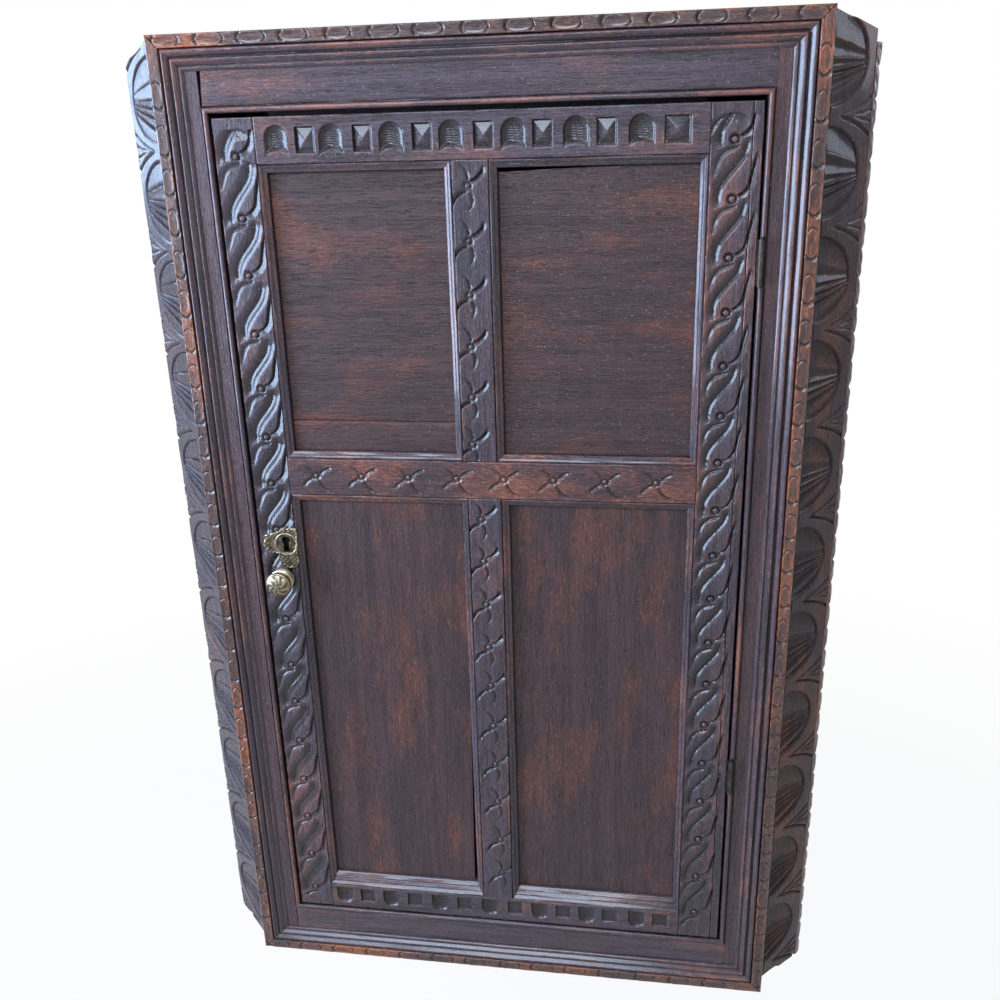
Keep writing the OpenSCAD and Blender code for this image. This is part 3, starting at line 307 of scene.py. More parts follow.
def oak(name, dark, light, rubbed, flakes=0.5, rub=0.8, gloss=0.22, wax=0.3, shine=0.1, ior=1.3,
        turn=None, planks=None):
    """Oak, planed, stained and waxed: dull brown in the pores, pale where the light glances off the
    wax, and red-brown where hands and dusters have rubbed the stain from arrises and patches.
    turn is for a solid as it was packed, which has no grain of its own."""
    material, put = new_material(name)
    here = put("TexCoord").outputs["Object"]
    if turn is None:
        place = put("Attribute", attribute_name="grain").outputs["Vector"]
    else:
        place = put("Mapping", {"Vector": here, "Rotation": turn})
    if planks:
        # Each plank against the walls is from another part of the tree
        side = put("SeparateXYZ", {0: here})
        count = side
        for operation, value in (("ABSOLUTE", 0), ("SUBTRACT", planks[0]), ("DIVIDE", planks[1]),
                                 ("FLOOR", 0)):
            count = put("Math", {0: count, 1: value}, operation=operation)
        sign = put("Math", {0: side}, operation="SIGN")
        count = put("Math", {0: sign, 1: 7.3, 2: count}, operation="MULTIPLY_ADD")
        plank = put("TexWhiteNoise", {"W": count}, noise_dimensions="1D").outputs["Value"]
        place = put("VectorMath", {0: place, 1: plank}, operation="ADD")

    def spots(across, along, detail=3.0, rough=0.55):
        """Noise whose spots are that many millimetres wide and long, in the direction of the grain."""
        fit = put("VectorMath", {0: place, 1: (1000 / across, 1000 / across, 1000 / along)},
                  operation="MULTIPLY")
        return put("TexNoise", {"Vector": fit, "Scale": 1.0, "Detail": detail, "Roughness": rough})

    # Growth bands 10 mm wide, streaks 1.7 mm, and pores, which are drawn 0.9 mm wide so that they show
    bands, streaks, pores = spots(10, 260, 4), spots(1.7, 55), spots(0.9, 14, 2, 0.5)
    # Patches a hand wide where the stain is thin, flecks 1.5 mm wide, and dents and pale dust specks 1 mm
    # wide, which also stand in for small glints as painted highlight
    patches, flecks, scuffs = spots(60, 170, 4, 0.6), spots(1.5, 8, 4, 0.7), spots(1.0, 2.2, 3, 0.6)
    spotted = put("Mix", {0: 0.7, 2: patches, 3: flecks})
    ranges = []
    for value, low, high, least, most in (
            (put("Mix", {0: 0.5, 2: bands, 3: streaks}), 0.38, 0.62, 0, 1),
            (patches, 0.6 - 0.2 * flakes, 0.78 - 0.2 * flakes, 0, 0.2),
            (spotted, 0.64 - 0.12 * flakes, 0.7 - 0.12 * flakes, 0, 0.85),
            (pores, 0.58, 0.68, 0, 0.5), (scuffs, 0.66, 0.71, 0, 0.75),
            (flecks, 0.3, 0.7, gloss - 0.06, gloss + 0.1)):
        ranges.append(put("MapRange", {"Value": value, "From Min": low, "From Max": high, "To Min": least,
                                       "To Max": most}, interpolation_type="SMOOTHSTEP"))
    figure, thin, rubs, pits, dust, roughness = ranges
    layers = [(figure, light, "MIX"), (thin, rubbed, "MIX"), (rubs, rubbed, "MIX")]
    if planks:
        layers.insert(1, (plank, "#b9aca2", "MULTIPLY"))
    if turn is None:
        wear = put("Attribute", attribute_name="wear").outputs["Fac"]
        dirt = put("Attribute", attribute_name="dirt").outputs["Fac"]
        uneven = put("MapRange", {"Value": put("Mix", {0: 0.5, 2: patches, 3: flecks}), "From Min": 0.47,
                                  "From Max": 0.62, "To Max": rub}, interpolation_type="SMOOTHSTEP")
        rubs = put("Math", {0: wear, 1: uneven}, operation="MULTIPLY", use_clamp=True)
        # Painted shade in the hollows, multiplied over the colour
        stain = put("Math", {0: dirt, 1: 0.85}, operation="MULTIPLY", use_clamp=True)
        layers += [(rubs, rubbed, "MIX"), (stain, "#453836", "MULTIPLY")]
    colour = linear(dark)
    # The pale specks are partly dust and partly painted highlight, for the sparkle of small glints
    for share, tint, blend in layers + [(pits, "#66584f", "MULTIPLY"), (dust, "#aaa5a8", "MIX")]:
        colour = put("Mix", {0: share, 6: colour, 7: linear(tint)}, data_type="RGBA", blend_type=blend)
    roughness = put("Math", {0: rubs, 1: 0.12, 2: roughness}, operation="MULTIPLY_ADD")
    relief = 0.0
    for part, share in ((streaks, 0.7), (flecks, 0.45), (scuffs, 0.55), (pits, -1.1)):
        relief = put("Math", {0: part, 1: share, 2: relief}, operation="MULTIPLY_ADD")
    normal = put("Bump", {"Height": relief, "Strength": 0.8, "Distance": 0.001})
    shader = put("BsdfPrincipled", {"Base Color": colour, "Roughness": roughness, "Normal": normal,
                                    "IOR": ior, "Coat Weight": wax, "Coat Roughness": shine})
    put("OutputMaterial", {"Surface": shader})
    return material


def metal(name, dark, light, rough, grit, bump):
    """Old metal: darkened in its hollows and brighter where it is rubbed. grit is in millimetres."""
    material, put = new_material(name)
    here = put("TexCoord").outputs["Object"]
    fine = put("TexNoise", {"Vector": here, "Scale": 1000 / grit, "Detail": 5.0})
    broad = put("TexNoise", {"Vector": here, "Scale": 120.0, "Detail": 3.0})
    wear = put("Attribute", attribute_name="wear").outputs["Fac"]
    share = put("MapRange", {"Value": put("Mix", {0: 0.5, 2: fine, 3: broad}), "From Min": 0.38,
                             "From Max": 0.62}, interpolation_type="SMOOTHSTEP")
    share = put("Math", {0: share, 1: wear}, operation="ADD", use_clamp=True)
    clean = put("Math", {0: wear, 1: 0.6, 2: 0.4}, operation="MULTIPLY_ADD")
    share = put("Math", {0: share, 1: clean}, operation="MULTIPLY", use_clamp=True)
    colour = put("Mix", {0: share, 6: linear(dark), 7: linear(light)}, data_type="RGBA")
    roughness = put("MapRange", {"Value": fine, "From Min": 0.3, "From Max": 0.7, "To Min": rough - 0.07,
                                 "To Max": rough + 0.1}, interpolation_type="SMOOTHSTEP")
    normal = put("Bump", {"Height": fine, "Strength": bump, "Distance": 0.0004})
    shader = put("BsdfPrincipled", {"Base Color": colour, "Roughness": roughness, "Normal": normal,
                                    "Metallic": 1.0})
    put("OutputMaterial", {"Surface": shader})
    return material


# Oak with old dark stain and many coats of wax: near black and glossy, red-brown where it is rubbed
carved_oak = oak("carved waxed oak", "#2b2428", "#463a42", "#835140", flakes=0.35, wax=0.4)
# The same where it is rubbed most, on the middle rail and the edging, so that brown shows all over
handled_oak = oak("handled waxed oak", "#2e2226", "#4b3437", "#945439", flakes=0.8, gloss=0.25, wax=0.4)
# Planed flat and wiped with less wax, so that its shine is broader
panel_oak = oak("waxed oak panel", "#342627", "#453231", "#854832", gloss=0.32, wax=0.2)
# Planed with moulding planes and polished hard by dusters
moulded_oak = oak("waxed oak moulding", "#2c2328", "#493941", "#88523e", flakes=0.45, gloss=0.3, wax=0.5,
                  shine=0.17)
# The outermost edges, where the stain has gone from all that stands proud
strip_oak = oak("rubbed oak edging", "#382827", "#57403a", "#a5592f", flakes=0.75, rub=0.9, wax=0.45)
# The canted sides, in lit and shaded copies of one oak whose colours are painted for the light on each: the
# one towards the window is polished and painted cooler and darker, the other one dull and painted warmer and
# redder, as in shade
side_oak = oak("waxed oak side", "#25202a", "#3a3139", "#5f4038", rub=0.6, wax=0.1, ior=1.22)
shaded_oak = oak("dull oak side", "#2c2225", "#423236", "#7d4833", flakes=0.6, rub=0.9, gloss=0.25,
                 wax=0.15, ior=1.17)
# Painted near black, as the shade in the gaps round the door where the stops lie
stop_oak = oak("stained oak in shade", "#0d0a0a", "#161010", "#1d1411", gloss=0.5, wax=0, turn=(0, 0, 0))
# Sawn and left bare: grey-brown and dull. Three planks are against each wall
walls_lo, walls_hi = box("back_boards_left")
raw_oak = partial(oak, gloss=0.62, wax=0)
raw_planks = raw_oak("unfinished oak planks", "#6e5842", "#907559", "#5f4938", flakes=0.35, turn=(0, 0, 0),
                     planks=(abs(walls_hi[0]) * MM, (walls_hi[0] - walls_lo[0]) / 3 * MM))
raw_upright = raw_oak("unfinished oak, upright", "#6e5640", "#8d7053", "#5c4533", flakes=0.2, turn=(0, 0, 0))
raw_level = raw_oak("unfinished oak, level", "#6a523d", "#876a4f", "#584130", flakes=0.2,
                    turn=(0, math.pi / 2, 0))
# The frame behind the mouldings, stained and waxed as the door is
frame_oak = oak("waxed oak frame", "#322426", "#4d383a", "#844b37", flakes=0.35, gloss=0.24, turn=(0, 0, 0))
# Wrought iron, hammered and blackened: dull dark grey with a faint sheen
iron = metal("forged iron, blackened", "#35302e", "#6a635f", 0.5, 1.2, 0.5)
# Brass cast in sand, chased and never polished since: brown-grey, yellow where fingers touch it
brass = metal("cast brass, dulled", "#332c21", "#a1957f", 0.34, 0.9, 0.4)

# The four sides of a moulded frame: where each starts, and which way its width and length run
SIDES = {"left": (X, Z), "right": (-X, Z), "bottom": (Z, X), "top": (-Z, X)}


def moulded_side(stock, side, outer, widths, thick, shape, step, arris=0, **more):
    """One mitred side of a frame. outer is its outer rectangle (x0, x1, z0, z1), and widths the
    widths of its left, right, bottom and top sides."""
    x0, x1, z0, z1 = outer
    w = dict(zip(SIDES, widths))
    across, along = SIDES[side]
    upright = side in ("left", "right")
    length = z1 - z0 if upright else x1 - x0
    ends = ("bottom", "top") if upright else ("left", "right")
    k0, k1 = (w[end] / w[side] for end in ends)
    at = (x1 if side == "right" else x0, FACE, z1 if side == "top" else z0)

    def mitre(u, v):
        return u, u * k0 + v / length * (length - u * (k0 + k1))

    stock.board(at, across, along, -Y, w[side], length, thick, shape, step, mitre, arris, **more)


def section(points, seed, waver=0.12):
    """A moulding's height across its width, planed by hand so that it wavers along its length."""
    u_points, heights = zip(*points)

    def shape(u, v):
        shift = 0.18 * ripple(u * 0, v, 30, 140, seed)
        return np.interp(u + shift, u_points, heights) + waver * ripple(u, v, 12, 70, seed + 1)

    return shape


PANEL_MOULD = [
    (0, -0.3), (0.5, -1.4), (1, -0.9), (1.6, -0.4), (4.4, -1.7), (4.9, -2.7), (5.3, -2.4), (8.6, -4.4),
    (9.5, -7.2)
]
SILL = [
    (0, -0.2), (0.8, -1.6), (1.4, -0.2), (2, 0), (5.7, -3.5), (6.4, -4.1), (7.2, -2.1), (7.8, -1.8),
    (11.7, -5.3), (12.4, -6.1), (13.2, -4.1), (13.8, -3.8), (17.7, -7.3), (18.6, -8.3), (20, -8.4)
]
FRONT_MOULD = [
    (0, 3), (0.6, 3.9), (1.2, 5.4), (2, 6.5), (3.2, 7), (4.2, 6.7), (6.1, 5.3), (8.1, 3.5), (8.8, 2.3),
    (9.6, 2.2), (10.4, 3.2), (11.2, 4.7), (12.1, 5.2), (13.2, 5), (15.1, 3.8), (17.1, 2.3), (17.8, 1.4),
    (18.6, 1.4), (19.4, 2.4), (20.2, 2.5), (22, 1.5), (23.5, 0.4)
]
# The moulding along the foot is worked a little deeper
FOOT_MOULD = [
    (0, 3), (0.6, 3.9), (1.2, 5.4), (2, 6.6), (3, 7), (3.8, 6.7), (8, 2.4), (8.8, 1.9), (9.6, 2.2),
    (10.4, 3.8), (11.2, 5), (12, 5.2), (12.8, 4.9), (16.6, 1), (17.4, 0.7), (18.2, 1.4), (19.2, 2.8),
    (20, 2.9), (20.6, 2.6), (22.4, 0.8), (23.5, 0.4)
]
BEAD = [
    (0, 0.1), (0.6, -0.9), (1.2, -0.6), (1.8, 1), (2.8, 2.3), (4.2, 2.9), (5.6, 2.7), (6.8, 1.8), (8, -0.6)
]

# The door's openings, out to the edges of their moulded frames, and those frames' widths
EVEN, SILLED = (MOULD_W,) * 4, (MOULD_W, MOULD_W, SILL_W, MOULD_W)
UPPER, LOWER = (MID_FACES[1], TOP_FACE), (BOTTOM_FACE, MID_FACES[0])
OPENINGS = {
    "upper_left": ((LOCK_FACE, UPPER_FACE[0], *UPPER), EVEN),
    "upper_right": ((UPPER_FACE[1], HINGE_FACE, *UPPER), EVEN),
    "lower_left": ((LOCK_FACE, LOWER_FACE[0], *LOWER), SILLED),
    "lower_right": ((LOWER_FACE[1], HINGE_FACE, *LOWER), SILLED),
}


def panel_mould(stock, opening, side, seed):
    outer, widths = OPENINGS[opening]
    points = SILL if side == "bottom" and widths is SILLED else PANEL_MOULD
    moulded_side(stock, side, outer, widths, PANEL_DEPTH, section(points, seed), (0.5, 7), seed=seed)


# Carving on the stiles: the lines of one scroll of the running pattern, round its boss, and their ends
SCROLL = {
    "stem": ([(15, 61), (13.2, 52), (10.5, 43), (4, 33.5), (-4, 24), (-10.5, 14.5), (-13.5, 6), (-13.8, -1.5),
              (-12, -7.5)], (0.12, 0.1)),
    "hook": ([(4.6, 3.6), (11, 7), (15.8, 13.5), (17.6, 21), (19.5, 30), (21.5, 38), (23.5, 48)],
             (0.05, 0.25)),
    "tail": ([(5.6, -3.5), (3.6, -7.2), (-2.4, -9), (-9.6, -12.3), (-15, -19), (-18, -28), (-19, -36)],
             (0.1, 0.3)),
}

# The left and right walls of those lines
LOCK_WALLS = {
    "stem": (([0, 0.8, 3, 6, 9, 11.5], [4.4, 3.4, 2.5, 1.8, 0.6, 0]), ([0, 1.8, 5, 10], [4, 3, 1.7, 0])),
    "hook": (([0, 1, 1.8], [3.2, 0.8, 0]), ([0, 1, 8], [3.2, 2.6, 0])),
    "tail": (([0, 0.8, 4], [2.6, 1.3, 0]), ([0, 2.5, 6.5], [2.8, 1.6, 0])),
}

# On the hinge stile they are narrower and steeper, and the leaves flatter
HINGE_WALLS = {
    "stem": (([0, 3, 4, 9], [3.4, 1.05, 0.75, 0]), ([0, 1.8, 5, 10], [4, 3, 1.7, 0])),
    "hook": (([0, 1, 1.8], [3.2, 0.8, 0]), ([0, 2.8, 6.5], [3.4, 1.2, 0])),
    "tail": (([0, 2.8, 3.6], [2.5, 0.35, 0]), ([0, 2.2, 6], [2.8, 1.3, 0])),
}

# Radius, depth of the groove round it and height of the bosses
SCROLL_BOSS, SICKLE_BOSS = (3.4, 2.4, 0.3), (2.9, 2.0, 0.1)


def carve(height, u, v, centres, cuts, knob=None):
    """The same cuts round every centre, and then a boss in each."""
    for x, z in centres:
        for line, left, right, ends in cuts:
            cut(height, u, v, [(x + a, z + b) for a, b in line], left, right, ends)
    for x, z in centres if knob else ():
        boss(height, u - x, v - z, *knob)


def scrolls(height, u, v, centres, top, bottom, walls):
    """The running scroll, its bosses at those places."""
    keep = (v < top) & (v > bottom)
    work = height.copy()
    carve(work, u, v, centres, [(line, *walls[name], ends) for name, (line, ends) in SCROLL.items()])
    height[keep] = work[keep]
    carve(height, u, v, centres, (), SCROLL_BOSS)


# Heights of the bosses, and the middles of keyhole and knob
LOCK_BOSSES = [1102, 1036, 973, 905, 840, 780, 721, 660, 598, 536, 469, 414, 353, 292, 231, 167, 109]
HINGE_BOSSES = [1106, 1047, 987, 929, 870, 813, 758, 700, 643, 587, 528, 471, 413, 356, 298, 239, 179, 119]
LOCK_CENTRE = (-260.0, 642.0)
KNOB_CENTRE = (-268.0, 595.0)
# The round places left plain under escutcheon and knob
PLAIN = ((LOCK_CENTRE, 15), (KNOB_CENTRE, 12))
# The keyhole, from its middle: how high its eye is, and the eye's radius, half the slot's width and the
# slot's depth, first in the brass and then, a little wider, in the wood, which is cut 9 mm deep
KEY_EYE = 5
KEY_BRASS, KEY_WOOD, KEY_DEPTH = (5.3, 3.6, 10.8), (5.9, 4.1, 11.4), 9


def planed(u, v, across, along, seed):
    """The face before it is carved, with the unevenness that the plane left."""
    return 0.12 * ripple(u, v, across, along, seed)


def hood(height, u, v, x, z, reach):
    """The arched hood over the topmost scroll."""
    arch = [(-1, -6), (-0.8, 6), (-0.3, 13), (0.2, 15), (0.75, 11), (1, 3)]
    brow = [(-0.45, 6), (0, 9.5), (0.5, 7)]
    carve(height, u, v, [(x, z)], [
        ([(reach * a, b) for a, b in arch], wall(3, 1.5), wall(9, 2.6, 0.7), (0.2, 0.2)),
        ([(reach * a, b) for a, b in brow], steep(1.5), wall(5, 1.5), (0.3, 0.3))])


def stile_face(u, v, seed, bosses, x, lean, above, bottom, walls, hood_x, hood_z, reach):
    """u from the left edge, v from the door's lower edge. The bosses start at the top, at x, and lean."""
    height = planed(u, v, 14, 60, seed)
    top = bosses[0] - DOOR_Z0
    centres = [(x + lean * (bosses[0] - z), z - DOOR_Z0) for z in bosses]
    scrolls(height, u, v, centres, top + above, bottom, walls)
    hood(height, u, v, hood_x, top + hood_z, reach)
    return height


hinge_stile_face = partial(stile_face, seed=41, bosses=HINGE_BOSSES, x=266.5 - HINGE_FACE,
                           lean=-4 / (HINGE_BOSSES[0] - HINGE_BOSSES[-1]), above=24, bottom=18,
                           walls=HINGE_WALLS, hood_x=20, hood_z=10, reach=20)


def lock_stile_face(u, v):
    height = stile_face(u, v, 31, LOCK_BOSSES, DOOR_X - 271.5, 0, 27, 14, LOCK_WALLS, 25, 12, 18)
    for (cx, cz), r in PLAIN:
        plain = np.hypot(u - (cx + DOOR_X), v - (cz - DOOR_Z0)) < r
        height[plain] = planed(u, v, 14, 60, 31)[plain]
    x, z = u - (LOCK_CENTRE[0] + DOOR_X), v - (LOCK_CENTRE[1] - DOOR_Z0)
    eye, slot, foot = KEY_WOOD
    key = (np.hypot(x, z - KEY_EYE) < eye) | ((abs(x) < slot) & (z < KEY_EYE) & (z > -foot))
    height[key] = -KEY_DEPTH
    return height


def closing_face(u, v):
    """The same scrolls, where they run on over the strip on the stile's edge."""
    return hinge_stile_face(u + CLOSING_X - HINGE_FACE, v)


# Carving on the muntins and the middle rail: a boss with four sickle cuts
SICKLES_UPRIGHT = [
    ([(2, 4.8), (8.5, 8), (14.5, 13.8), (17.6, 21.5)], steep(3.2), wall(5.2, 3.5), (0.1, 0.3)),
    ([(0.2, 5), (-0.6, 12), (-4, 18.5), (-9.5, 23.5)], wall(2.6, 2.2), wall(3.4, 2.3), (0.1, 0.5)),
    ([(0, -5.4), (-7, -7.8), (-13, -12.6), (-18, -21.5)], steep(2.9), wall(5, 3.2), (0.12, 0.25)),
    ([(1.8, -5.5), (4.8, -13), (4, -21), (0, -27)], wall(2.6, 2.1), wall(3, 2.1), (0.1, 0.5)),
]
SICKLES_LEVEL = [
    ([(3.5, 1.5), (8, 6.2), (14, 9.8), (20, 11.5)], steep(2.4), wall(4.6, 2.5), (0.15, 0.2)),
    ([(-3, -2.5), (-8, -4.4), (-13.5, -8.4), (-18, -13.5)], wall(4.2, 2.3), wall(3, 2.5), (0.15, 0.2)),
    ([(-3, 4), (-8, 10), (-15, 14)], wall(3.4, 1.8), wall(2.6, 1.7), (0.1, 0.5)),
    ([(3.5, -4.5), (7, -12), (13, -17.5), (21, -20)], steep(2.1), wall(4.6, 2.4), (0.1, 0.35)),
]


# Carving on the top and bottom rails: niches and sunk squares in turn
def niche(height, u, v, w, h, up):
    """A round-headed hollow. The upright one ends on a low arch, the hanging one on a straight edge."""
    v = v * up
    half = w / 2
    head = h / 2 - half
    r = np.where(v > head, np.hypot(u, v - head), abs(u)) / half
    rise = 6.5 * np.sqrt(unit(1 - (u / half) ** 2)) if up > 0 else 0
    foot = -h / 2 + rise
    hollow = (r < 1) & (v > foot)
    depth = 5.0 * np.sqrt(unit(1 - r**2)) * (1 - 0.22 * u / half)
    if up > 0:
        depth = depth * unit((v - foot) / 4.6)
    depth = depth + 0.28 * np.sin(v * 2.5 + 0.8 * np.sin(u * 0.5)) * unit(2 * (1 - r))
    height[hollow] = np.minimum(height, -depth - 0.2)[hollow]


def sunk_square(height, u, v, w, h, low, peak, sill):
    """A sunk square with a low pyramid in it. Its right wall leans a little, its lower one by sill."""
    inside = (abs(u) < w / 2) & (abs(v) < h / 2)
    slope = np.maximum(abs(u) / (w / 2), abs(v) / (h / 2))
    bank = np.minimum((w / 2 - u) / 3.0, (v + h / 2) / sill)
    ground = np.maximum(-low + peak * (1 - slope), -low * bank)
    height[inside] = np.minimum(ground, 0)[inside]


TOP_NICHES = [-223, -161, -94, -29, 38, 104, 172]
TOP_SQUARES = [-190, -126, -60, 6, 69, 136, 209]
BOTTOM_NICHES = [-228, -160, -89, -18, 52, 117, 185]
BOTTOM_SQUARES = [-194, -125, -54, 18, 85, 149, 217]


def top_rail_face(u, v):
    """u up from the rail's lower edge, v along it."""
    height = planed(u, v, 20, 90, 51)
    for x in TOP_NICHES:
        niche(height, v - (x - LOCK_FACE), u - 23.5, w=27, h=34, up=1)
    for x in TOP_SQUARES:
        w = 28 if x == TOP_SQUARES[-1] else 21.5
        sunk_square(height, v - (x - LOCK_FACE), u - 24, w, h=28, low=3.6, peak=3.3, sill=3.2)
    return height


def bottom_rail_face(u, v):
    height = planed(u, v, 20, 90, 61)
    for x in BOTTOM_NICHES:
        niche(height, v - (x - LOCK_FACE), u - 20, w=23, h=26, up=-1)
    for x in BOTTOM_SQUARES:
        sunk_square(height, v - (x - LOCK_FACE), u - 21, w=21, h=23, low=3.2, peak=0.8, sill=3.6)
    return height


MID_BOSSES = [-213, -156, -98, -39, 18, 77, 137, 196]
UPPER_MUNTIN_BOSSES = [1066, 1008, 949, 891, 832, 775]
LOWER_MUNTIN_BOSSES = [681, 626, 568, 508, 453, 393, 335, 276, 215, 160]


def mid_rail_face(u, v):
    """u up from the rail's lower edge, v along it. Its pattern is drawn along the rail."""
    height = planed(u, v, 20, 90, 71)
    carve(height, v, u, [(x - LOCK_FACE, 24) for x in MID_BOSSES], SICKLES_LEVEL, SICKLE_BOSS)
    return height


def muntin_face(u, v, bosses, start, lean, base, seed):
    """Its row of bosses starts at the top and leans a little."""
    height = planed(u, v, 15, 60, seed)
    carve(height, u, v, [(start + (bosses[0] - z) * lean, z - base) for z in bosses], SICKLES_UPRIGHT,
          SICKLE_BOSS)
    return height


upper_muntin_face = partial(muntin_face, bosses=UPPER_MUNTIN_BOSSES, start=17, lean=-0.016,
                            base=MID_FACES[1], seed=81)
lower_muntin_face = partial(muntin_face, bosses=LOWER_MUNTIN_BOSSES, start=15, lean=0.022,
                            base=BOTTOM_FACE, seed=91)

# The parts of the door's frame. Where the carved face lies in x and z, and the plain back half between
# the panels' grooves; the grain's axis, the carving, the first seed, and the moulded sides worked on it
CARVE_STEP = (0.85, 0.85)
TALL, FACES, SIGHTS = (DOOR_Z0, DOOR_Z1), (LOCK_FACE, HINGE_FACE), (LOCK_SIGHT, HINGE_SIGHT)
MEMBERS = {
    "stile_lock": ((-DOOR_X, LOCK_FACE), TALL, (-DOOR_X, LOCK_SIGHT), TALL, "z", lock_stile_face, 11,
                   ["upper_left left", "lower_left left"]),
    "stile_hinge": ((HINGE_FACE, CLOSING_X), TALL, (HINGE_SIGHT, CLOSING_X), TALL, "z", hinge_stile_face,
                    15, ["upper_right right", "lower_right right"]),
    "closing_strip": ((CLOSING_X, DOOR_X), TALL, None, None, "z", closing_face, 19, []),
    "rail_top": (FACES, (TOP_FACE, DOOR_Z1), SIGHTS, (UPPER_Z1, DOOR_Z1), "x", top_rail_face, 21,
                 ["upper_left top", "upper_right top"]),
    "rail_middle": (FACES, MID_FACES, SIGHTS, (LOWER_Z1, UPPER_Z0), "x", mid_rail_face, 25,
                    ["upper_left bottom", "upper_right bottom", "lower_left top", "lower_right top"]),
    "rail_bottom": (FACES, (DOOR_Z0, BOTTOM_FACE), SIGHTS, (DOOR_Z0, LOWER_Z0), "x", bottom_rail_face, 31,
                    ["lower_left bottom", "lower_right bottom"]),
    "muntin_upper": (UPPER_FACE, UPPER, MUNTIN_UPPER, (UPPER_Z0, UPPER_Z1), "z", upper_muntin_face, 35,
                     ["upper_left right", "upper_right left"]),
    "muntin_lower": (LOWER_FACE, LOWER, MUNTIN_LOWER, (LOWER_Z0, LOWER_Z1), "z", lower_muntin_face, 39,
                     ["lower_left right", "lower_right left"]),
}


def door_pieces():
    for name, (xs, zs, back_xs, back_zs, grain, face, seed, moulds) in MEMBERS.items():
        across, run = (X, Z) if grain == "z" else (Z, X)
        size = np.array([xs[1] - xs[0], 0, zs[1] - zs[0]])
        stock = Stock()
        stock.board((xs[0], FACE, zs[0]), across, run, -Y, size @ across, size @ run,
                    PANEL_DEPTH if back_xs else DOOR_T, face, CARVE_STEP, seed=seed, ground=-0.5)
        if back_xs:
            low, high = zip(back_xs, (PANEL_Y, DOOR_BACK), back_zs)
            stock.block(low, high, grain, seed + 1)
        for i, mould in enumerate(moulds):
            panel_mould(stock, *mould.split(), seed + 2 + i)
        piece(name, stock, "door", "oak_worn" if name == "closing_strip" else "oak_carved",
              handled_oak if name == "rail_middle" else carved_oak, "door_" + name)


def plain_board(waver, seed, across=35, along=140):
    return lambda u, v: -0.2 + waver * ripple(u, v, across, along, seed)


BOARD_GAP = BOARD_STEP = 0.7


def panel(name, node, along, seed, split=None, shrunk=0.0, over=1.0):
    """A door panel, its grain level or upright. A split one is of two boards, the lower one proud.
    A shrunk one has come out of its groove: its far edge shows a gap that is that wide at the start
    and closes over that share of its length."""
    lo, hi = box(node)
    across, run = (Z, X) if along == "x" else (X, Z)
    width, length = (hi - lo) @ across, (hi - lo) @ run
    boards = [(0, width)] if split is None else [(0, split), (split + BOARD_GAP, width)]

    def drawn_back(u, v):
        far = width - PANEL_IN - shrunk * (1 - (v - PANEL_IN) / (over * length))
        return u / width * far, v

    stock = Stock()
    for i, (u0, u1) in enumerate(boards):
        proud = BOARD_STEP if split and i == 0 else 0
        stock.board(lo + u0 * across - proud * Y, across, run, -Y, u1 - u0, length, hi[1] - lo[1],
                    plain_board(0.16, seed + i), (3, 8), drawn_back if shrunk else None, 0.6, seed=seed + i)
    piece(name, stock, "door", "oak_dark", panel_oak, node)


# The front frame's mouldings, beads and carved strips
def strip_carving(u, v, length, pitch, seed, start=9.0, oval=27.0):
    """Ovals between pairs of sickle cuts, along a strip. v is along it, u across."""
    height = PROUD - 0.25 + 0.2 * ripple(u, v, 10, 35, seed)
    work = height - PROUD
    draw = np.random.default_rng(seed)
    centre = start + oval / 2
    while centre + oval / 2 < length - 6:
        half = oval / 2 + draw.uniform(-1.5, 1.5)
        r = np.hypot((u - STRIP_W / 2) / 4.8, (v - centre) / half)
        work = np.where(r < 1, np.minimum(work, -0.25 - 0.55 * np.sqrt(unit(1 - r**2))), work)
        for sign in (-1, 1):
            end = centre + sign * (half + 1.0)
            line = [(STRIP_W / 2 + a, end - sign * b)
                    for a, b in ((-5.4, 5.6), (-3.6, 2.0), (0, 0), (3.6, 2.0), (5.4, 5.6))]
            walls = ((steep(2.0), ([0, 2.4, 4.6], [2.6, 0.9, 0])) if sign < 0
                     else (wall(2.4, 1.8, 0.6), steep(1.3)))
            cut(work, u, v, line, *walls, (0.3, 0.3))
        for _ in range(2):
            a, b = draw.uniform(-2, 2), draw.uniform(-half * 0.5, half * 0.5)
            r = np.hypot(u - STRIP_W / 2 - a, (v - centre - b) * 0.6)
            work = np.minimum(work, -0.9 * unit(1 - r / 1.8))
        centre += pitch + draw.uniform(-2.5, 2.5)
    return work + PROUD


HINGE_H = 48
LONG_PITCH, SHORT_PITCH = 44.5, 48


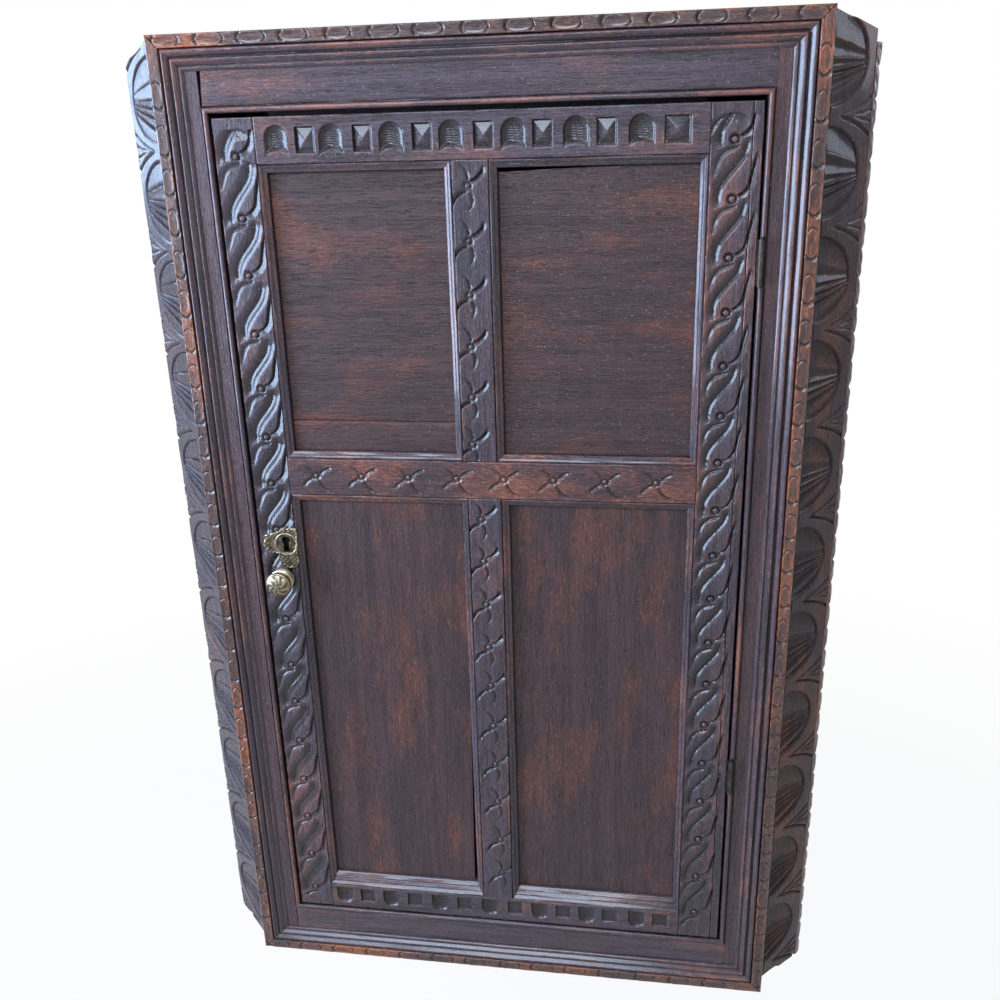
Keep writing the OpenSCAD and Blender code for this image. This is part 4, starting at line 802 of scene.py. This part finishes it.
def front_frame():
    strip_outer = (-FRONT_X, FRONT_X, 0, FRONT_Z)
    mould_outer = (-MOULDING_X, MOULDING_X, STRIP_W, FRONT_Z - STRIP_W)
    bead_outer = (-OPEN_X - BEAD_W, OPEN_X + BEAD_W, OPEN_Z0 - BEAD_W, OPEN_Z1 + BEAD_W)
    low, high = (corner[2] - OPEN_Z0 + BEAD_W for corner in box("frame_hinge_leaves"))
    knuckles = [(low - 1, low + HINGE_H + 2), (high - HINGE_H - 1, high + 2)]
    for i, side in enumerate(SIDES):
        length = FRONT_Z if side in ("left", "right") else 2 * FRONT_X
        pitch = SHORT_PITCH if length < 1000 else LONG_PITCH
        profile = FOOT_MOULD if side == "bottom" else FRONT_MOULD
        plain_bead = section(BEAD, 140 + i)

        def strip_shape(u, v):
            return strip_carving(STRIP_W - u, v, length, pitch, 120 + i)

        def bead_shape(u, v):
            """The right bead is cut away for the hinges' knuckles."""
            height = plain_bead(u, v)
            for z0, z1 in knuckles if side == "right" else ():
                height[(v > z0) & (v < z1) & (u > 2.7)] = -0.3
            return height

        stock = Stock()
        moulded_side(stock, side, strip_outer, (STRIP_W,) * 4, 0, strip_shape, (0.75, 0.8),
                     seed=100 + i, arris=0.9, ground=PROUD - 0.5, soak=0.9)
        piece("carved_strip_" + side, stock, "carcase", "oak_worn", strip_oak, "edge_strip_" + side)
        stock = Stock()
        moulded_side(stock, side, mould_outer, (MOULDING_W,) * 4, 0, section(profile, 130 + i),
                     (0.5, 6), seed=104 + i)
        piece("reeded_" + side, stock, "carcase", "oak_carved", moulded_oak, "moulding_" + side)
        stock = Stock()
        moulded_side(stock, side, bead_outer, (BEAD_W,) * 4, FRAME_BACK - FACE, bead_shape,
                     (0.5, 2 if side == "right" else 6), seed=108 + i)
        piece("beading_" + side, stock, "carcase", "oak_dark", moulded_oak, "bead_" + side)

    for name, node, gap in (("frame_head", "frame_rail_top", 5.0), ("frame_foot", "frame_rail_bottom", 0.6)):
        lo, hi = box(node)
        rise, run = hi[2] - lo[2], 2 * (OPEN_X + BEAD_W)

        def end_gap(u, v):
            """The rail's left end has drawn away from the stile, more so higher up."""
            open_by = gap * unit(0.35 + u / rise)
            return u, open_by + v / run * (run - open_by)

        stock = Stock()
        stock.board((-run / 2, FACE, lo[2]), Z, X, -Y, rise, run, FRAME_BACK - FACE,
                    plain_board(0.3, 150, 20, 120), (2, 5), end_gap, 0.6, seed=112)
        piece(name, stock, "carcase", "oak_carved", moulded_oak, node)


# The canted sides
LUNETTES = 11
# Where the flutes of a half round part, as shares of its half height
FLUTES = (-1.9, -0.76, -0.46, -0.26, -0.02, 0.42, 1.9)
# The leaves between two half rounds: shares of the side's width, and distances from their middle line
LEAF_EDGE = [(0.22, 0), (0.45, 4.5), (0.7, 11), (1.02, 24)]
LEAF_VEIN = [(0.5, 0.8), (0.75, 3), (1.02, 8)]


def lunettes(height, u, v, first, last, width, reach, hollow, seed):
    """Half rounds that open to the front edge, filled with flutes that draw together at their far
    end, a plain ribbon round each, and leaves between them. hollow is the flutes' own depth."""
    pitch = (last - first) / (LUNETTES - 1)
    draw = np.random.default_rng(seed)
    rise = pitch * 0.41
    for i in range(-1, LUNETTES + 1):
        z = first + i * pitch + draw.uniform(-1.5, 1.5)
        out = np.clip(u, 0, None) / reach
        inside = out**2 + ((v - z) / rise) ** 2 < 0.98
        closing = 1 - 0.66 * np.clip(out, 0, 1.2) ** 1.2
        spread = (v - z) / rise / closing
        edges = np.array(FLUTES) + np.concatenate([[0], draw.uniform(-0.03, 0.03, len(FLUTES) - 2), [0]])
        k = np.clip(np.searchsorted(edges, spread) - 1, 0, len(edges) - 2)
        share = unit((spread - edges[k]) / (edges[k + 1] - edges[k]))
        room = (edges[k + 1] - edges[k]) * rise * closing
        up = share * room
        groove = np.minimum(up / 0.9, 1) * np.exp(-np.clip(up - 1.2, 0, None) / 1.5)
        scoop = np.sin(math.pi * share)
        flute = -0.6 - ((3.4 - hollow) * groove + hollow * scoop) * unit(1.35 - out)
        height[inside] = np.minimum(height, flute)[inside]
        turn = np.linspace(-math.pi / 2, math.pi / 2, 13)
        arc = [(reach * math.cos(t) - 1, z + rise * math.sin(t)) for t in turn]
        cut(height, u, v, arc[:7], steep(2.0), wall(2.6, 2.0, 0.5), (0, 0))
        cut(height, u, v, arc[6:], wall(3.6, 2.9, 0.7), wall(1.8, 2.9, 0.5), (0, 0))
        middle = z + pitch / 2
        for sign in (-1, 1):
            walls = (wall(4, 2.8, 0.7), steep(2.8)) if sign < 0 else (steep(1.9), wall(2.8, 1.9))
            vein = wall(2.2, 1.6)
            for line, sides_of, ends in ((LEAF_EDGE, walls, (0.15, 0)), (LEAF_VEIN, (vein, vein), (0.4, 0))):
                line = [(width * a, middle + sign * b) for a, b in line]
                cut(height, u, v, line, *sides_of, ends)


ROOT = math.sqrt(0.5)
SIDE_T = 16.0
# How much lower a side's top is at the wall than at the front
SIDE_FALL = 20.5
EDGING_W = 12.0
LOBE_PITCH = 30.5
# Each side's direction in x, the heights of its first and last half round, the share of its width that
# they take, their flutes' own depth, how far leaves run past the board, and its oak
# Each side's oak is a copy painted for the light on it: cooler on the lit side, warmer on the shaded one
CANTED = {"left": (-1, (80, 1162), 0.87, 0.9, 0, side_oak),
          "right": (1, (92, 1179), 0.81, 3.0, 6, shaded_oak)}


def canted(sign):
    """The directions across a canted side, away from the front, and out of its face."""
    return ROOT * np.array([sign, 1, 0]), ROOT * np.array([sign, -1, 0])


def sides():
    for side, (sign, ends, share, hollow, past, oak_used) in CANTED.items():
        node = "side_board_" + side
        lo, hi = box(node)
        across, out = canted(sign)
        width = (max(-lo[0], hi[0]) - SIDE_X) / ROOT
        tall = hi[2] - lo[2]
        fall = SIDE_FALL * width / SIDE_W
        first, last = (z - lo[2] for z in ends)
        pitch = (last - first) / (LUNETTES - 1)

        def outline(u, v):
            top = tall - fall * (u / width)
            if side == "right":
                return u, v / tall * top
            # The left one's top corner is rounded, and its edge is nicked between the half rounds
            v = v / tall * (top - 9 * unit((u - width + 9) / 9) ** 2)
            beat = np.abs((v - first) % pitch - pitch / 2)
            nick = 3.2 * unit(1 - beat / 6) ** 0.7
            return u / width * (width - nick), v

        def face(u, v):
            height = 0.25 * ripple(u, v, 25, 50, 160 + sign) - 0.25
            lunettes(height, u, v, first, last, width + past, width * share, hollow, 170 + sign)
            return height

        stock = Stock()
        stock.board((sign * SIDE_X, FACE, lo[2]), across, Z, out, width, tall, SIDE_T, face, (1.05, 1.0),
                    outline, 1.0, heel=SIDE_T, seed=165 + sign, ground=-0.8)
        piece("canted_" + side, stock, "carcase", "oak_carved", oak_used, node)

    lo, hi = box("side_edging_right")
    across, out = canted(1)
    begin = np.array([SIDE_X, FACE, lo[2]]) + across * ((hi[0] - SIDE_X) / ROOT - EDGING_W)

    def lobes(u, v):
        beat = np.abs((v + 4) % LOBE_PITCH - LOBE_PITCH / 2) / (LOBE_PITCH / 2)
        nick = 6.5 * unit((beat - 0.35) / 0.65) ** 1.7 + 0.4 * ripple(u * 0, v, 9, 22, 181)
        return u / EDGING_W * (EDGING_W - np.clip(nick, 0, 7)), v

    def lobe_face(u, v):
        return -0.4 - 2.2 * unit((u - 4) / 8) ** 2 + 0.3 * ripple(u, v, 8, 14, 183)

    stock = Stock()
    stock.board(begin, across, Z, out, EDGING_W, hi[2] - lo[2], SIDE_T, lobe_face, (0.9, 1.0), lobes, 1.2,
                seed=184)
    piece("scalloped_edging", stock, "carcase", "oak_dark", handled_oak, "side_edging_right")


# Knob and escutcheon, cast and chased
def lathe(points, centre, around, shape=None):
    """A turned form: points are (distance out from the door, radius)."""
    stock = Stock()
    turn = np.linspace(0, 2 * math.pi, around, endpoint=False)
    rows, wear = [], []
    for out, radius in points:
        dent = shape(out, radius, turn) if shape else 0 * turn
        r = np.maximum(radius - dent, 0.02)
        rows.append(np.stack([centre[0] + r * np.cos(turn), np.full(around, FACE - out),
                              centre[1] + r * np.sin(turn)], -1))
        wear.append(unit(0.8 - 1.1 * dent))
    rows = np.vstack(rows)
    grid = np.arange(len(rows)).reshape(-1, around)
    nxt = np.roll(grid, -1, 1)
    faces = list(np.stack([grid[:-1], grid[1:], nxt[1:], nxt[:-1]], -1).reshape(-1, 4))
    faces += [tuple(grid[0]), tuple(grid[-1][::-1])]
    stock.add(rows, faces, rows, np.concatenate(wear), np.zeros(len(rows)))
    return stock


def knob():
    dome = [(20 + 9.3 * math.sin(t), 16 * math.cos(t)) for t in np.linspace(0, 1.55, 26)]
    profile = [(0, 4), (0.05, 14.2), (1.2, 14.6), (2.4, 14), (3, 11), (4.4, 9.6), (5.2, 8), (7, 7),
               (8.6, 7.2), (9.2, 13.6), (10, 15.2), (11.2, 15.6), (12.2, 14.6), (12.8, 12.4), (14.4, 11.8),
               (15.6, 12.6), (16.4, 14.4), (17.4, 15.6), (18.6, 16)] + dome

    def chased(out, radius, turn):
        if out > 19.5:
            ring = (16 - radius) / 16
            petals = 0.5 + 0.5 * np.cos(8 * turn + 9 * ring)
            inner = 0.5 + 0.5 * np.cos(5 * turn - 16 * ring)
            outer = 1.5 * (1 - petals**0.7) * unit((ring - 0.1) / 0.06) * (ring < 0.6)
            return outer + 1.0 * inner * (ring >= 0.6) * (ring < 0.9) + 1.1 * (0.05 < ring < 0.1)
        if 9.5 < out < 12 or 16.8 < out < 19:
            return 0.35 * (0.5 + 0.5 * np.cos(26 * turn))
        return 0 * turn

    piece("cast_knob", lathe(profile, KNOB_CENTRE, 128, chased), "door", "brass", brass, "knob")
    piece("knob_shank", lathe([(0, 4), (-DOOR_T - 5, 4)], KNOB_CENTRE, 24), "door", "brass", brass)


def keyhole_radius(turn):
    eye, slot, foot = KEY_BRASS
    s, c = math.sin(turn), abs(math.cos(turn)) + 1e-9
    across = eye**2 - (KEY_EYE * c) ** 2
    rounded = KEY_EYE * s + math.sqrt(across) if across > 0 and s > 0 else 0
    return max(rounded, min(slot / c, foot / -s if s < 0 else KEY_EYE / max(s, 1e-9)))


# The cast plate's outline from the keyhole's middle: degrees, then distance
PLATE = [(0, 15.5), (20, 16.5), (38, 20), (52, 25), (66, 24.5), (80, 22.5), (95, 22.5), (112, 20),
         (130, 20.5), (146, 24.5), (158, 29.5), (170, 28.5), (182, 31), (196, 28), (208, 25.5), (218, 19.5),
         (230, 17.5), (243, 22), (255, 29.5), (268, 33), (280, 34), (293, 32), (304, 27), (318, 18.5),
         (335, 15.8), (360, 15.5)]


def plate_radius(turn):
    degrees = math.degrees(turn) % 360
    lobe = 1.5 * abs(math.sin(math.radians(degrees * 11))) - 0.9
    return np.interp(degrees, *zip(*PLATE)) + lobe


def escutcheon():
    cx, cz = LOCK_CENTRE
    around, rings = 240, 26
    turn = np.linspace(0, 2 * math.pi, around, endpoint=False)
    inner = np.array([keyhole_radius(t) for t in turn])
    outer = np.array([plate_radius(t) for t in turn])
    share = np.linspace(0, 1, rings)[:, None]
    r = inner + (outer - inner) * share
    height = np.full(r.shape, 1.3)
    height += 0.75 * np.exp(-((r - 14.0) / 0.8) ** 2)
    x, z = r * np.cos(turn), r * np.sin(turn)
    fine = np.cos(1.05 * x + np.sin(r * 0.5)) * np.cos(1.05 * z)
    height += 0.4 * fine * unit((r - 15.6) / 1.5)
    height += 0.55 * np.exp(-((outer - r - 1.9) / 0.9) ** 2)
    height -= 0.3 * (0.5 + 0.5 * np.cos(9 * turn[None] - r * 1.1)) * (r < 12.6) * (r > 7.5)
    height -= 0.7 * unit(1 - (outer - r) / 1.0)
    height -= 0.4 * unit(1 - (r - inner) / 0.7)
    front = np.stack([cx + x, FACE - height, cz + z], -1).reshape(-1, 3)
    grid = np.arange(rings * around).reshape(rings, around)
    nxt = np.roll(grid, -1, 1)
    back = front[grid[[0, -1]].ravel()]
    back[:, 1] = FACE
    faces = list(np.stack([grid[:-1], nxt[:-1], nxt[1:], grid[1:]], -1).reshape(-1, 4)[:, ::-1])
    n = rings * around
    for i in range(around):
        j = (i + 1) % around
        faces += [(i, j, n + j, n + i), (grid[-1, j], grid[-1, i], n + around + i, n + around + j),
                  (n + j, n + around + j, n + around + i, n + i)]
    stock = Stock()
    wear = unit((height - 1.5) / 0.6).ravel()
    points = np.vstack([front, back])
    stock.add(points, faces, points, np.concatenate([wear, np.zeros(2 * around)]), np.zeros(len(points)))
    piece("cast_escutcheon", stock, "door", "brass", brass, "escutcheon")


door_pieces()
panel("panel_left_above", "panel_upper_left", "x", 201, split=PANEL_IN + 36)
panel("panel_right_above", "panel_upper_right", "x", 203, shrunk=4.2, over=0.6)
panel("panel_left_below", "panel_lower_left", "z", 205, shrunk=4.6, over=0.55)
panel("panel_right_below", "panel_lower_right", "z", 207)
front_frame()
sides()
escutcheon()
knob()

# Finishes of the solids that are shown as they are
FINISH = {
    raw_level: "top_board bottom_board shelf_lower shelf_upper shelf_bearers hanging_rail_left "
               "hanging_rail_right",
    raw_planks: "back_boards_left back_boards_right",
    raw_upright: "corner_post",
    frame_oak: "frame_stile_left frame_stile_right frame_pegs door_pegs",
    # The door stops take the black that stands for shade
    stop_oak: "door_stops",
    iron: "back_board_nails frame_hinge_leaves frame_hinge_screws hinge_pins keeper_plate keeper_screws "
          "knob_nut lock_plate lock_case lock_screws door_hinge_leaves door_hinge_screws lock_bolt",
    brass: "escutcheon_pins",
}
for material, names in FINISH.items():
    for name in names.split():
        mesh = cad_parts[name].data
        mesh.materials.clear()
        mesh.materials.append(material)


# Floor, light and camera
def seen_white(put):
    """1 for the rays that show the background as white: those of the camera, and what gloss reflects."""
    rays = put("LightPath").outputs
    seen = put("Math", {0: rays["Is Camera Ray"], 1: rays["Is Glossy Ray"]}, operation="ADD")
    return put("Math", {0: seen, 1: rays["Is Transmission Ray"]}, operation="ADD", use_clamp=True)


# Matt pale paper, which keeps the shadow near the cupboard and goes over into the white of the room
floor_material, put = new_material("pale floor")
reach = put("VectorMath", {0: put("TexCoord").outputs["Object"]}, operation="LENGTH").outputs["Value"]
whiter = put("MapRange", {"Value": reach, "From Min": 1.0, "From Max": 4.0, "To Min": 0.9},
             interpolation_type="SMOOTHSTEP")
share = put("Math", {0: seen_white(put), 1: whiter}, operation="MULTIPLY")
paper = put("BsdfPrincipled", {"Base Color": linear("#d9d9dc"), "Roughness": 0.9})
glow = put("Emission", {"Color": (1, 1, 1, 1), "Strength": 1.0})
put("OutputMaterial", {"Surface": put("MixShader", {0: share, 1: paper, 2: glow})})
bpy.ops.mesh.primitive_plane_add(size=30, location=(0, 0, -1.0))
floor = bpy.context.object
floor.name = "floor"
floor.data.materials.append(floor_material)

world = bpy.data.worlds.new("soft room")
scene.world = world
world.use_nodes = True
world.node_tree.nodes.clear()
put = partial(add, world.node_tree)
room = put("Background", {"Color": linear("#cfdffb"), "Strength": 0.24})
white = put("Background", {"Color": (1, 1, 1, 1), "Strength": 1.0})
put("OutputWorld", {"Surface": put("MixShader", {0: seen_white(put), 1: room, 2: white})})


def lamp(name, place, aim, size, power, colour):
    data = bpy.data.lights.new(name, "AREA")
    data.shape = "RECTANGLE"
    data.size, data.size_y = size
    data.energy = power
    data.color = linear(colour)[:3]
    obj = new_object(name, data)
    obj.location = place
    obj.rotation_euler = (Vector(aim) - Vector(place)).to_track_quat("-Z", "Y").to_euler()


lamp("window", (-1.95, -1.05, 1.05), (0, 0, 0.8), (0.9, 1.5), 118, "#c0dbff")
lamp("side window", (-2.2, 0.9, 1.55), (-0.3, 0, 0.9), (1.2, 1.2), 40, "#b4d6ff")
lamp("skylight", (-0.45, -1.9, 2.0), (0, 0, 0.5), (1.3, 0.5), 44, "#dbe9ff")
lamp("ceiling", (-0.3, -0.9, 2.55), (0, 0, 0.7), (1.3, 0.8), 14, "#dbe9ff")
lamp("far window", (2.2, 0.3, 1.65), (0.4, -0.1, 0.8), (0.5, 0.9), 15, "#dbe9ff")

# Camera, solved from the front's edges in the photograph
CAMERA = Vector((189.90, -1109.36, 1116.83))
FOCAL_PX = 1009.45
PHOTO_PX = 1000
SENSOR = 36
TURN = (0.34848316, 0.15077658, -0.00137836)

turn = np.array(Matrix.Rotation(np.linalg.norm(TURN), 3, Vector(TURN)))
right, down, forward = turn @ np.array([[1, 0, 0], [0, 0, -1], [0, 1, 0]], float)
camera = new_object("camera", bpy.data.cameras.new("camera"))
camera.data.sensor_width = SENSOR
camera.data.sensor_fit = "HORIZONTAL"
camera.data.lens = FOCAL_PX * SENSOR / PHOTO_PX
camera.data.clip_end = 100
camera.matrix_world = Matrix([[right[i], -down[i], -forward[i], 0] for i in range(3)] + [[0, 0, 0, 1]])
camera.location = Vector((CAMERA.x, CAMERA.y + front_lo[1], CAMERA.z)) * MM
scene.camera = camera
scene.view_settings.view_transform = "Standard"
